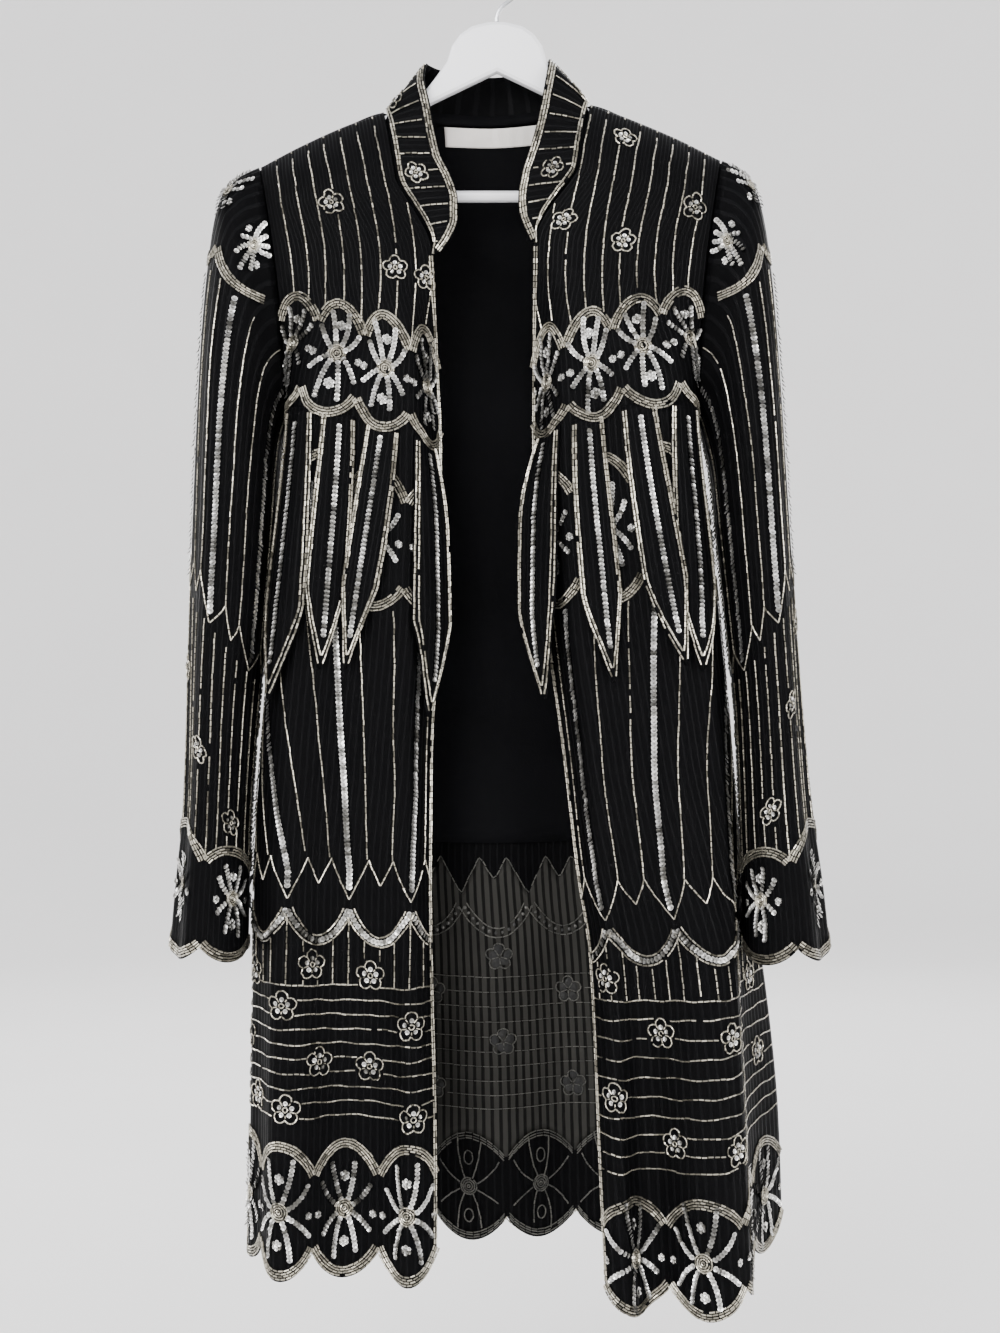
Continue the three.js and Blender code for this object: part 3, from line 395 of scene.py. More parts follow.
def panel_surface(section, folds, creases, facing, outward, columns):
    """section holds every drop's points at even shares of its table, before the folds."""
    w = np.linspace(0, 1, section.shape[1])
    section = section.copy()
    section[..., 1] += facing * fold_out(folds, w, DROPS)
    spans = np.linalg.norm(np.diff(section, axis=1), axis=-1)
    lengths = np.concatenate([np.zeros((len(DROPS), 1)), np.cumsum(spans, axis=1)], axis=1)
    u = np.linspace(0, 1, columns)
    points = np.empty((len(DROPS), columns, 3))
    for r, (row, length) in enumerate(zip(section, lengths)):
        for axis in range(3):
            points[r, :, axis] = np.interp(u * length[-1], length, row[:, axis])
    plain = Surface(points, u, DROPS, outward)
    points = points + plain.normals * crease_out(creases, u, DROPS, lengths[:, -1])[..., None]
    return Surface(points, u, DROPS, outward)


SECTION_STEPS = 73


def front_surface(side):
    table = FRONTS[side]
    sections = [points for name, points in table.items() if name != "seam"]
    columns = [column_points(FRONT_DROPS, points, points[0]) for points in sections]
    columns.append(armhole_column(side, 1, table["seam"]))
    w = np.linspace(0, 1, SECTION_STEPS)
    section = smooth(tuple(FRONT_COLUMNS.values()), np.array(columns), w).transpose(1, 0, 2)
    return panel_surface(section, FOLDS[side], CREASES[side], -1, 1 if side == "right" else -1, 129)


def back_surface():
    columns = []
    for name in BACK_COLUMNS:
        if name.startswith("seam"):
            columns.append(armhole_column(name[5:], -1, BACK[name]))
        else:
            columns.append(column_points(BACK_DROPS, BACK[name]))
    w = np.linspace(0, 1, SECTION_STEPS)
    section = smooth(tuple(BACK_COLUMNS.values()), np.array(columns), w).transpose(1, 0, 2)
    above = np.flatnonzero(DROPS < SHOULDER_FALL)
    top = smooth(BACK_TOP["at"], BACK_TOP["point"], w)
    below = section[np.searchsorted(DROPS, SHOULDER_FALL)]
    hug = 0.14  # how far the armhole's loop pulls the cloth at each end
    for r in above:
        share = np.array([[DROPS[r] / SHOULDER_FALL]])
        row = fall_over(top, below, share)
        for side, end, away in (("right", 0, w), ("left", -1, 1 - w)):
            loop = ring_point(ARMHOLES[side], [-ARMHOLE_TURNS[r]])[0]
            plain = fall_over(top[end], below[end], share[0])
            row += (loop - plain) * (1 - ease(away, 0, hug))[:, None]
        section[r] = row
    return panel_surface(section, FOLDS["back"], CREASES["back"], 1, 1, 193)


def sleeve_surface(side):
    turns = np.linspace(0, 360, 145)
    along = np.arange(0, SLEEVE_LENGTH + 4, 4.0)
    rings = {key: np.array([ARMHOLES[side][key], *SLEEVES[side][key]], float) for key in SLEEVES[side]}
    table = ring_point(rings, turns)
    points = smooth((0, *SLEEVE_ALONG), table, along)
    centre = smooth((0, *SLEEVE_ALONG), (rings["top"] + rings["under"]) / 2, along)[:, None]
    out = unit(points - centre)
    for turn, half, depth, start, end in SLEEVE_FOLDS:
        away = np.clip(np.abs((turns - turn + 180) % 360 - 180) / half, 0, 1)
        depths = depth * ease(along, start, end)[:, None] * np.cos(away * np.pi / 2) ** 2
        points = points + out * depths[..., None]
    seam_clear = 1.3
    points[..., 0] += (-1 if side == "right" else 1) * seam_clear * (1 - along / SLEEVE_LENGTH)[:, None]
    return Surface(points, turns, along, -1 if side == "right" else 1, closed=True)


def collar_surface():
    seams, frees = [], []
    for where, place, free in COLLAR:
        free = np.array(free, float)
        if where == "back":
            seam, clear = smooth(BACK_TOP["at"], BACK_TOP["point"], [place])[0], COLLAR_CLEAR["back"]
        else:
            seam, clear = PANELS[where].at(0, place), COLLAR_CLEAR["front"]
        seams.append(seam + unit(free - seam) * clear)
        frees.append(free)
    stations = np.arange(len(COLLAR))
    dense = np.linspace(0, len(COLLAR) - 1, 8 * (len(COLLAR) - 1) + 1)
    seam, free = smooth(stations, seams, dense), smooth(stations, frees, dense)
    share = np.linspace(0, 1, 9)[:, None, None]
    points = mix(seam, free, share)
    away = points - np.array(COLLAR_MIDDLE)
    away[..., 2] = 0
    points += unit(away) * COLLAR_CURVE * np.sin(np.pi * share)
    return Surface(points, dense, np.linspace(0, 1, 9), -1)


PANELS = {"right": front_surface("right"), "left": front_surface("left"), "back": back_surface()}
ARMS = {side: sleeve_surface(side) for side in RIGHT_LEFT}
NECK = collar_surface()


# Meshes

def mesh_piece(name, points, faces, finish, smooth_shade=True, uv=None, tone=None):
    """A mesh from points in millimetres and arrays of faces, each array with its own corner count."""
    mesh = bpy.data.meshes.new(name)
    mesh.vertices.add(len(points))
    mesh.vertices.foreach_set("co", (points * MM).astype(np.float32).ravel())
    corners = np.concatenate([f.ravel() for f in faces]).astype(np.int32)
    sizes = np.concatenate([np.full(len(f), f.shape[1]) for f in faces])
    mesh.loops.add(len(corners))
    mesh.loops.foreach_set("vertex_index", corners)
    mesh.polygons.add(len(sizes))
    mesh.polygons.foreach_set("loop_start", np.concatenate([[0], np.cumsum(sizes)[:-1]]).astype(np.int32))
    mesh.update(calc_edges=True)
    mesh.validate()
    mesh.polygons.foreach_set("use_smooth", np.full(len(sizes), smooth_shade))
    if uv is not None:
        layer = mesh.uv_layers.new(name="cloth")
        layer.data.foreach_set("uv", (uv[corners] * MM).astype(np.float32).ravel())
    if tone is not None:
        mesh.attributes.new("tone", "FLOAT", "POINT").data.foreach_set("value", tone.astype(np.float32))
    piece = bpy.data.objects.new(name, mesh)
    bpy.context.scene.collection.objects.link(piece)
    mesh.materials.append(finish_of(finish))
    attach(piece, BODY)
    return piece


def quads(*corners):
    return np.stack(corners, axis=-1).reshape(-1, 4)


def shell_piece(name, grid, wall, finish, closed=False, uv=None):
    """A closed wall over a grid of middle points. closed joins the last column to the first."""
    rows, columns = grid.shape[:2]
    if closed:
        padded = np.concatenate([grid[:, -1:], grid, grid[:, :1]], axis=1)
        over = padded[:, 2:] - padded[:, :-2]
    else:
        over = np.gradient(grid, axis=1)
    half = unit(np.cross(over, np.gradient(grid, axis=0))) * wall / 2
    points = np.concatenate([(grid + half).reshape(-1, 3), (grid - half).reshape(-1, 3)])
    index = np.arange(rows * columns).reshape(rows, columns)
    if closed:
        index = np.concatenate([index, index[:, :1]], axis=1)
    inner = rows * columns
    a, b, c, d = index[:-1, :-1], index[:-1, 1:], index[1:, 1:], index[1:, :-1]
    faces = [quads(a, d, c, b), quads(a, b, c, d) + inner]
    edges = [(index[0], 1), (index[-1], -1)]
    if not closed:
        edges += [(index[:, 0], -1), (index[:, -1], 1)]
    for edge, way in edges:
        faces.append(quads(edge[:-1], edge[1:], edge[1:] + inner, edge[:-1] + inner)[:, ::way])
    faces = outward(points, faces)
    if uv is not None:
        uv = np.concatenate([uv.reshape(-1, 2)] * 2)
    return mesh_piece(name, points, faces, finish, uv=uv)


def outward(points, faces):
    """Turns every face of a closed body round if its faces point in."""
    volume = 0.0
    for f in faces:
        a, b, c, d = (points[f[:, k]] for k in range(4))
        volume += np.einsum("ij,ij->", a, np.cross(b, c)) + np.einsum("ij,ij->", a, np.cross(c, d))
    return faces if volume > 0 else [f[:, ::-1] for f in faces]


def cloth_piece(node, kind, grid, wall, finish, uv, closed=False):
    """The fine sheet that takes the place of a node's solid."""
    piece = shell_piece(f"{node}_{kind}", grid, wall, finish, closed=closed, uv=uv)
    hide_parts(node)


def panel_node(key):
    """The node of a panel's solid."""
    return "back_panel" if key == "back" else f"front_{key}"


# Materials

def add_node(tree, kind, **settings):
    """A node whose settings are its inputs' values or its own options."""
    made = tree.nodes.new(kind)
    for key, value in settings.items():
        if key in made.inputs:
            made.inputs[key].default_value = value
        else:
            setattr(made, key, value)
    return made


class Finish:
    """A new material with its node tree, its shader and the place of each point. Cloth counts its place in
    metres of cloth, by the uv map, and hard pieces by their own frame."""

    def __init__(self, name, uv_map=True):
        self.material = bpy.data.materials.new(name)
        self.material.use_nodes = True
        self.tree = self.material.node_tree
        self.shader = self.tree.nodes["Principled BSDF"]
        if uv_map:
            self.place = add_node(self.tree, "ShaderNodeUVMap", uv_map="cloth").outputs["UV"]
        else:
            self.place = add_node(self.tree, "ShaderNodeTexCoord").outputs["Object"]

    def link(self, source, target):
        self.tree.links.new(source, target)

    def noise(self, scale, detail):
        made = add_node(self.tree, "ShaderNodeTexNoise", Scale=scale, Detail=detail)
        self.link(self.place, made.inputs["Vector"])
        return made.outputs["Fac"]

    def ribs(self, gap, distortion):
        """Bands down the cloth, gap millimetres apart."""
        made = add_node(self.tree, "ShaderNodeTexWave", Scale=math.pi / (10 * gap * MM), bands_direction="X",
                        Distortion=distortion)
        self.link(self.place, made.inputs["Vector"])
        return made

    def ramp(self, factor, low, high, stops):
        """A colour between low and high, by where the factor is between the two stops."""
        made = self.tree.nodes.new("ShaderNodeValToRGB")
        for element, stop, colour_here in zip(made.color_ramp.elements, stops, (low, high)):
            element.position, element.color = stop, (*colour_here, 1)
        self.link(factor, made.inputs["Fac"])
        return made.outputs["Color"]

    def mixed(self, factor, a, b, **settings):
        """Two colours mixed, each one a value or another node's output."""
        made = add_node(self.tree, "ShaderNodeMix", data_type="RGBA", **settings)
        for key, value in (("Factor", factor), ("A", a), ("B", b)):
            if isinstance(value, bpy.types.NodeSocket):
                self.link(value, made.inputs[key])
            else:
                made.inputs[key].default_value = value if key == "Factor" else (*value, 1)
        return made.outputs["Result"]

    def roughness(self, factor, low, high):
        """Roughness that goes from low to high as the factor goes from 0 to 1."""
        spread = add_node(self.tree, "ShaderNodeMapRange")
        spread.inputs["To Min"].default_value, spread.inputs["To Max"].default_value = low, high
        self.link(factor, spread.inputs["Value"])
        self.link(spread.outputs["Result"], self.shader.inputs["Roughness"])

    def bump(self, height, distance, strength, below=None):
        """Relief of the surface, over another bump's if one is given below."""
        made = add_node(self.tree, "ShaderNodeBump", Strength=strength, Distance=distance)
        self.link(height, made.inputs["Height"])
        if below is not None:
            self.link(below, made.inputs["Normal"])
        self.link(made.outputs["Normal"], self.shader.inputs["Normal"])
        return made.outputs["Normal"]

    def done(self, colour_here, **values):
        """Joins the colour to the shader and sets the shader's other values."""
        self.link(colour_here, self.shader.inputs["Base Color"])
        for key, value in values.items():
            self.shader.inputs[key.replace("_", " ")].default_value = value
        return self.material


def shaded(share, tone):
    """A tone made darker, or lighter where the share is over 1."""
    return tuple(share * c for c in tone)


def georgette(name, colours, rib_gap, rib_strength):
    """Sheer black cloth: a fine crinkled weave, with glossy black ribs of beads down the cloth."""
    finish = Finish(name)
    rib = finish.ribs(rib_gap, 0.6)
    rib.inputs["Detail Scale"].default_value = 3.0
    line = finish.ramp(rib.outputs["Fac"], (0, 0, 0), (1, 1, 1), (0.72, 0.9))
    base = finish.mixed(finish.noise(14.0, 2.0), colours.cloth, colours.cloth_light)
    finish.roughness(line, 0.62, 0.34)
    fine = finish.bump(finish.noise(900.0, 3.0), 0.0002, 0.5)
    finish.bump(line, 0.0008, rib_strength, below=fine)
    return finish.done(finish.mixed(line, base, colours.rib), Specular_IOR_Level=0.025)


def lit_georgette(name, colours):
    """The same sheer cloth where light comes through it, with its dark ribs in front of the light."""
    finish = Finish(name)
    lit = colours.lit_cloth
    thin = finish.ramp(finish.noise(9.0, 2.0), shaded(0.72, lit), lit, (0.35, 0.65))
    dark = finish.ramp(finish.ribs(7.2, 0.4).outputs["Fac"], (1, 1, 1), (0.12, 0.12, 0.12), (0.55, 0.75))
    finish.bump(finish.noise(500.0, 3.0), 0.0002, 0.5)
    shade = finish.mixed(1.0, thin, dark, blend_type="MULTIPLY")
    return finish.done(shade, Roughness=0.8, Specular_IOR_Level=0.1)


def crepe(name, colours):
    """Matt black lining with a pebbled weave."""
    finish = Finish(name)
    finish.bump(finish.noise(1200.0, 2.0), 0.0002, 0.6)
    tint = finish.ramp(finish.noise(9.0, 3.0), colours.lining, shaded(1.7, colours.lining), (0.35, 0.7))
    return finish.done(tint, Roughness=0.72, Specular_IOR_Level=0.04)


def satin(name, colours):
    """Pale woven satin, with its floats across the label."""
    finish = Finish(name)
    floats = add_node(finish.tree, "ShaderNodeTexWave", Scale=160.0, bands_direction="Y", Distortion=1.5)
    finish.link(finish.place, floats.inputs["Vector"])
    finish.bump(floats.outputs["Fac"], 0.0001, 0.4)
    tint = finish.ramp(finish.noise(40.0, 2.0), shaded(0.86, colours.label), colours.label, (0.3, 0.6))
    return finish.done(tint, Roughness=0.38, Sheen_Weight=0.2)


def painted_wood(name, colours):
    """White gloss paint with brush marks along the board."""
    finish = Finish(name, uv_map=False)
    stretched = add_node(finish.tree, "ShaderNodeMapping", Scale=(12.0, 60.0, 60.0))
    finish.link(finish.place, stretched.inputs["Vector"])
    finish.place = stretched.outputs["Vector"]
    brush = finish.noise(6.0, 4.0)
    finish.bump(brush, 0.0006, 0.35)
    tint = finish.ramp(brush, shaded(0.88, colours.paint), colours.paint, (0.3, 0.62))
    return finish.done(tint, Roughness=0.32, Coat_Weight=0.35, Coat_Roughness=0.2)


def brushed_steel(name, colours):
    """Bright wire with fine scratches."""
    finish = Finish(name, uv_map=False)
    scratches = finish.noise(700.0, 3.0)
    finish.bump(scratches, 0.0001, 0.3)
    tint = finish.ramp(scratches, shaded(0.8, colours.steel), colours.steel, (0.3, 0.7))
    return finish.done(tint, Metallic=1.0, Roughness=0.28)


def foiled(name, dull, bright, roughness, metallic, coat):
    """Glass or foil pieces that differ one from the next, by the tone that each one carries: partly their
    own colour, partly painted glints and painted shade.
    """
    finish = Finish(name)
    tone = add_node(finish.tree, "ShaderNodeAttribute", attribute_name="tone").outputs["Fac"]
    finish.roughness(tone, *roughness)
    tint = finish.ramp(tone, dull, bright, (0.0, 0.85))
    return finish.done(tint, Metallic=metallic, Coat_Weight=coat, Coat_Roughness=0.1)


# Beads seen through the sheer cloth: their dull and bright colours, their roughness when dull and when
# bright, and how much metal and clear coat they have
THROUGH_CLOTH = {
    "bugle_through_cloth": ((0.03, 0.03, 0.026), (0.09, 0.087, 0.076), (0.6, 0.45), 0.2, 0.0),
    "sequin_through_cloth": ((0.02, 0.02, 0.019), (0.08, 0.078, 0.07), (0.6, 0.4), 0.2, 0.0),
    "shade_through_cloth": ((0.004, 0.004, 0.004), (0.008, 0.008, 0.007), (0.8, 0.7), 0.0, 0.0),
}


def finish_of(name):
    """A material of this scene, made the first time that a piece asks for it."""
    found = bpy.data.materials.get(name)
    if found:
        return found
    if name in THROUGH_CLOTH:
        return foiled(name, *THROUGH_CLOTH[name])
    colours = bpy.context.scene.jacket_colours
    makers = {
        "beaded_georgette": lambda: georgette(name, colours, 6.5, 0.4),
        "tail_georgette": lambda: georgette(name, colours, 4.2, 0.25),
        "lit_georgette": lambda: lit_georgette(name, colours),
        "lining_crepe": lambda: crepe(name, colours),
        "label_satin": lambda: satin(name, colours),
        "white_paint": lambda: painted_wood(name, colours),
        "hook_steel": lambda: brushed_steel(name, colours),
        "bugle_glass": lambda: foiled(name, colours.bugle_dull, colours.bugle, (0.38, 0.2), 0.75, 0.4),
        "sequin_foil": lambda: foiled(name, colours.sequin_dull, colours.sequin, (0.34, 0.18), 0.85, 0.3),
    }
    return makers[name]()


# What a user would change

def length(name, description, default, low, high):
    return bpy.props.FloatProperty(name=name, description=description, default=default * MM, min=low * MM,
                                   max=high * MM, unit="LENGTH", subtype="DISTANCE", precision=4)


def colour(name, description, default):
    return bpy.props.FloatVectorProperty(name=name, description=description, default=default, size=3, min=0,
                                         max=1, subtype="COLOR")


class JacketSizes(bpy.types.PropertyGroup):
    bugle_length: length("Bugle length", "Length of one bugle bead", 4.3, 2, 8)
    bugle_pitch: length("Bugle pitch", "Distance from one bugle to the next along a row", 4.9, 2, 10)
    row_gap: length("Row gap", "Distance between the rows of a border", 2.2, 1, 5)
    sequin_width: length("Sequin width", "Diameter of one sequin", 5.4, 3, 9)
    sequin_pitch: length("Sequin pitch", "Distance from one sequin to the next along a line", 3.6, 2, 9)


class JacketColours(bpy.types.PropertyGroup):
    cloth: colour("Cloth", "Deep black of the sheer cloth", (0.0014, 0.0014, 0.0017))
    cloth_light: colour("Cloth, lighter", "Where the sheer cloth catches light", (0.0026, 0.0026, 0.0028))
    lit_cloth: colour("Cloth, lit", "Where light comes through the lower back", (0.030, 0.029, 0.026))
    rib: colour("Rib", "Black beaded ribs of the cloth", (0.0038, 0.0038, 0.0042))
    lining: colour("Lining", "Crepe lining", (0.0018, 0.0018, 0.0022))
    label: colour("Label", "Satin of the blank label", (0.72, 0.68, 0.64))
    paint: colour("Hanger paint", "Painted wood", (0.78, 0.78, 0.74))
    steel: colour("Steel", "Hook of the hanger", (0.62, 0.63, 0.65))
    bugle: colour("Bugle", "Brightest bugle beads", (0.58, 0.54, 0.44))
    bugle_dull: colour("Bugle, dull", "Dullest bugle beads", (0.07, 0.064, 0.048))
    sequin: colour("Sequin", "Brightest sequins", (0.88, 0.87, 0.84))
    sequin_dull: colour("Sequin, dull", "Dullest sequins", (0.09, 0.087, 0.078))
    floor: colour("Floor", "Floor and backdrop", (0.9, 0.89, 0.88))


class JacketStage(bpy.types.PropertyGroup):
    camera_distance: bpy.props.FloatProperty(
        name="Camera distance", description="From the camera to the hanger's plane", default=1.65, min=0.5,
        max=6, unit="LENGTH", subtype="DISTANCE")
    camera_height: bpy.props.FloatProperty(
        name="Camera height", description="Height of the camera, from the hook's rail", default=-0.614,
        min=-2, max=2, unit="LENGTH", subtype="DISTANCE")
    view_height: bpy.props.FloatProperty(
        name="View height", description="What the camera sees from top to bottom, at the hanger",
        default=1.1464, min=0.2, max=4, unit="LENGTH", subtype="DISTANCE")
    key_power: bpy.props.FloatProperty(
        name="Key light", description="Power of the large light at the front", default=110, min=0, max=2000,
        unit="POWER")
    fill_power: bpy.props.FloatProperty(
        name="Fill light", description="Power of each smaller light", default=48, min=0, max=2000,
        unit="POWER")


# Pieces

class PieceOperator(bpy.types.Operator):
    """Shared settings of the operators that make pieces"""
    bl_options = {"REGISTER", "UNDO"}


def panel_shares(rows):
    """Even rows, closer together where the cloth comes over the shoulder."""
    t = np.linspace(0, 1, rows)
    return mix(t, t ** 1.6, 0.5)


def make_panel(key):
    surface, cells = PANELS[key], CELLS[key]
    us = np.linspace(0, 1, STEPS_PER_CELL * cells + 1)
    hem = HEM_DROP - scallop(us * cells, SCALLOP_RISE)
    drops = SHOULDER_HOLD + (hem - SHOULDER_HOLD) * panel_shares(PANEL_ROWS)[:, None]
    hold = SEAM_HOLD / surface.width(drops)
    places = np.clip(np.broadcast_to(us, drops.shape), hold, 1 - hold)
    grid = surface.at(places, drops)
    uv = np.stack([places * WEAVE_WIDTH[key], drops], axis=-1)
    cloth_piece(panel_node(key), "cloth", grid, CLOTH, "beaded_georgette",
                uv)


class JACKET_OT_fronts(PieceOperator):
    """Cut the two open fronts and hang them from the hanger"""
    bl_idname = "jacket.fronts"
    bl_label = "Fronts"

    def execute(self, context):
        for side in RIGHT_LEFT:
            make_panel(side)
        return {"FINISHED"}


class JACKET_OT_back(PieceOperator):
    """Cut the back from the shoulders to its scalloped hem"""
    bl_idname = "jacket.back"
    bl_label = "Back"

    def execute(self, context):
        make_panel("back")
        return {"FINISHED"}


class JACKET_OT_sleeves(PieceOperator):
    """Cut the two long sleeves with their scalloped cuffs"""
    bl_idname = "jacket.sleeves"
    bl_label = "Sleeves"

    def execute(self, context):
        for side in RIGHT_LEFT:
            turns = np.arange(0, 360, 3.75)
            end = SLEEVE_LENGTH - scallop(turns / 360 * CELLS["cuff"], CUFF_RISE)
            along = end * np.linspace(0, 1, 100)[:, None]
            places = np.broadcast_to(turns, along.shape)
            grid = ARMS[side].at(places, along)
            uv = np.stack([places * WEAVE_WIDTH["sleeve"] / 360, along], axis=-1)
            cloth_piece(f"sleeve_{side}", "cloth", grid, CLOTH, "beaded_georgette",
                        uv, closed=True)
        return {"FINISHED"}


class JACKET_OT_collar(PieceOperator):
    """Cut the narrow collar that runs down both front edges to a point"""
    bl_idname = "jacket.collar"
    bl_label = "Collar"

    def execute(self, context):
        uv = np.stack(np.broadcast_arrays(NECK.across * 22.0, NECK.down[:, None] * 45), axis=-1)
        cloth_piece("collar", "cloth", NECK.points, CLOTH, "beaded_georgette",
                    uv)
        return {"FINISHED"}


class JACKET_OT_linings(PieceOperator):
    """Hang the black crepe lining inside the back and the fronts"""
    bl_idname = "jacket.linings"
    bl_label = "Linings"

    def execute(self, context):
        for key in PANELS:
            back = key == "back"
            edge = 0.04 if back else 0.05
            us = np.linspace(edge, 1 - edge, 65 if back else 33)
            neck_drop = 5 + 47 * ease(np.abs(us - 0.5), 0.1, 0.22) if back else np.full(len(us), 60.0)
            hem = BACK_LINING_DROP if back else FRONT_LINING_DROP
            drops = neck_drop + (hem - neck_drop) * panel_shares(60)[:, None]
            places = np.broadcast_to(us, drops.shape)
            grid = PANELS[key].at(places, drops, np.full(drops.shape, -LINING_OFFSET))
            uv = np.stack([places * 240, drops], axis=-1)
            cloth_piece(f"lining_{key}", "crepe", grid, LINING, "lining_crepe",
                        uv)
        return {"FINISHED"}


def quarter_wave(share):
    """Rises from 0 to 1, quickly at first, and stays at 1."""
    return np.sin(np.minimum(share, 1) * np.pi / 2)


def tail_half(share):
    """Half the width of a tail, down from its root."""
    swell = mix(TAIL["root_half"], TAIL["belly_half"], quarter_wave(share / TAIL["shoulder"]))
    point = np.clip((share - TAIL["shoulder"]) / (1 - TAIL["shoulder"]), 0, 1) ** 1.15
    return np.where(share < TAIL["shoulder"], swell, mix(TAIL["belly_half"], TAIL["tip_half"], point))


def tail_places(key, tail, share, side):
    """Places on the panel, and the height over it, of a tail's points. side is -1 to 1 across it."""
    root, tip, drop, off = tail
    at = TAIL_ROOT + (drop - TAIL_ROOT) * share
    u = mix(root, tip, share) + side * tail_half(share) / PANELS[key].width(at)
    lift = mix(TAIL_ROOT_OFF[key], off, share) + TAIL["cup"] * (1 - side * side) * share
    if key != "back" and tail is TAILS[key][0]:
        turned = quarter_wave(share / TAIL["turn_over"]) * tail_half(share) / TAIL["belly_half"]
        lift = lift + TAIL_TURN[key] * turned * (1 - side) / 2
    return np.clip(u, 0.004, 0.996), at, lift


def tail_middle(key, tail, share, side):
    u, at, lift = tail_places(key, tail, share, side)
    return PANELS[key].at(u, at, lift)


class JACKET_OT_tails(PieceOperator):
    """Hang the pointed tails below the chest band"""
    bl_idname = "jacket.tails"
    bl_label = "Tails"

    def execute(self, context):
        for key, tails in TAILS.items():
            for k, tail in enumerate(tails, 1):
                share, side = np.meshgrid(np.linspace(0, 1, 34), np.linspace(-1, 1, 9), indexing="ij")
                grid = tail_middle(key, tail, share, side)
                at = TAIL_ROOT + (tail[2] - TAIL_ROOT) * share
                uv = np.stack([side * tail_half(share), at], axis=-1)
                cloth_piece(f"tail_{key}_{k}", "cloth", grid, TAIL_WALL, "tail_georgette",
                            uv)
        return {"FINISHED"}


TAPE = {"wall": 0.5, "below": -1.3, "reach": 5.0}


def tape(name, line, out, ahead, closed=False):
    """A narrow strip behind a seam, so that no light comes through it."""
    line = line - out * (CLOTH / 2 - TAPE["below"] + TAPE["wall"] / 2)
    grid = np.stack([line - ahead * TAPE["reach"], line, line + ahead * TAPE["reach"]])
    shell_piece(name, grid, TAPE["wall"], "lining_crepe", closed=closed, uv=grid[..., :2])


def shoulder_tape(key):
    """A strip under a shoulder seam, bent over it from the front to the back."""
    front, back = PANELS[key], PANELS["back"]
    u = np.linspace(0.004, 0.996, 60)
    across = back.at(np.linspace(0, 1, 240), np.zeros(240), 0.0)[:, 0]
    order = np.argsort(across)
    behind = np.interp(front.at(u, 0 * u, 0.0)[:, 0], across[order], np.linspace(0, 1, 240)[order])
    off = TAPE["below"] - TAPE["wall"] / 2
    ridge = (front.at(u, 0 * u, off) + back.at(behind, 0 * u, off)) / 2
    reach = 0 * u + TAPE["reach"]
    grid = np.stack([front.at(u, reach, off), ridge, back.at(behind, reach, off)])
    shell_piece(f"shoulder_tape_{key}", grid, TAPE["wall"], "lining_crepe", uv=grid[..., :2])


class JACKET_OT_tapes(PieceOperator):
    """Make the dark tapes behind the seams of the collar, the shoulders and the armholes"""
    bl_idname = "jacket.tapes"
    bl_label = "Seam tapes"

    def execute(self, context):
        stations = np.linspace(0.1, len(COLLAR) - 1.1, 180)
        line = NECK.at(stations, 0.0 * stations, 0.0)
        ahead = unit(NECK.at(stations, 0.0 * stations + 0.15, 0.0) - line)
        tape("collar_tape", line, NECK.normal(stations, 0.0 * stations), ahead)
        turns = np.arange(0.0, 360, 5)
        for side in RIGHT_LEFT:
            shoulder_tape(side)
            line = ARMS[side].at(turns, 0 * turns, 0.0)
            ahead = unit(ARMS[side].at(turns, 0 * turns + 5, 0.0) - line)
            tape(f"armhole_tape_{side}", line, ARMS[side].normal(turns, 0 * turns), ahead, closed=True)
        return {"FINISHED"}


class JACKET_OT_label(PieceOperator):
    """Sew the blank satin label below the back neck"""
    bl_idname = "jacket.label"
    bl_label = "Neck label"

    def execute(self, context):
        behind = LINING_OFFSET + LINING / 2 + LABEL["wall"] / 2 + LABEL["clear"]
        half = LABEL["width"] / 2 / PANELS["back"].width(20)
        us = np.linspace(0.5 - half, 0.5 + half, 33)
        drops = LABEL["drop"] + LABEL["height"] * np.linspace(0, 1, 12)[:, None]
        puckers = 0.25 * np.sin(us * 240)
        grid = PANELS["back"].at(*np.broadcast_arrays(us, drops, -behind + puckers))
        uv = np.stack(np.broadcast_arrays(us * 400, drops), axis=-1)
        cloth_piece("neck_label", "satin", grid, LABEL["wall"], "label_satin",
                    uv)
        return {"FINISHED"}


class JACKET_OT_hanger(PieceOperator):
    """Paint the hanger's board and bar, and brush its steel hook"""
    bl_idname = "jacket.hanger"
    bl_label = "Hanger"

    def execute(self, context):
        finishes = {"hanger_board": "white_paint", "hanger_bar": "white_paint", "hanger_hook": "hook_steel"}
        for node, finish in finishes.items():
            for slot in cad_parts[node].material_slots:
                slot.material = finish_of(finish)
        return {"FINISHED"}


# Beadwork

FINE = 1.2  # width of the bugles in a single line
BOLD = 1.45  # and in the rows of a border
MISSING = 0.012  # share of the bugles that have come off
BUGLE_SIDES = 5
SEQUIN_SIDES = 8


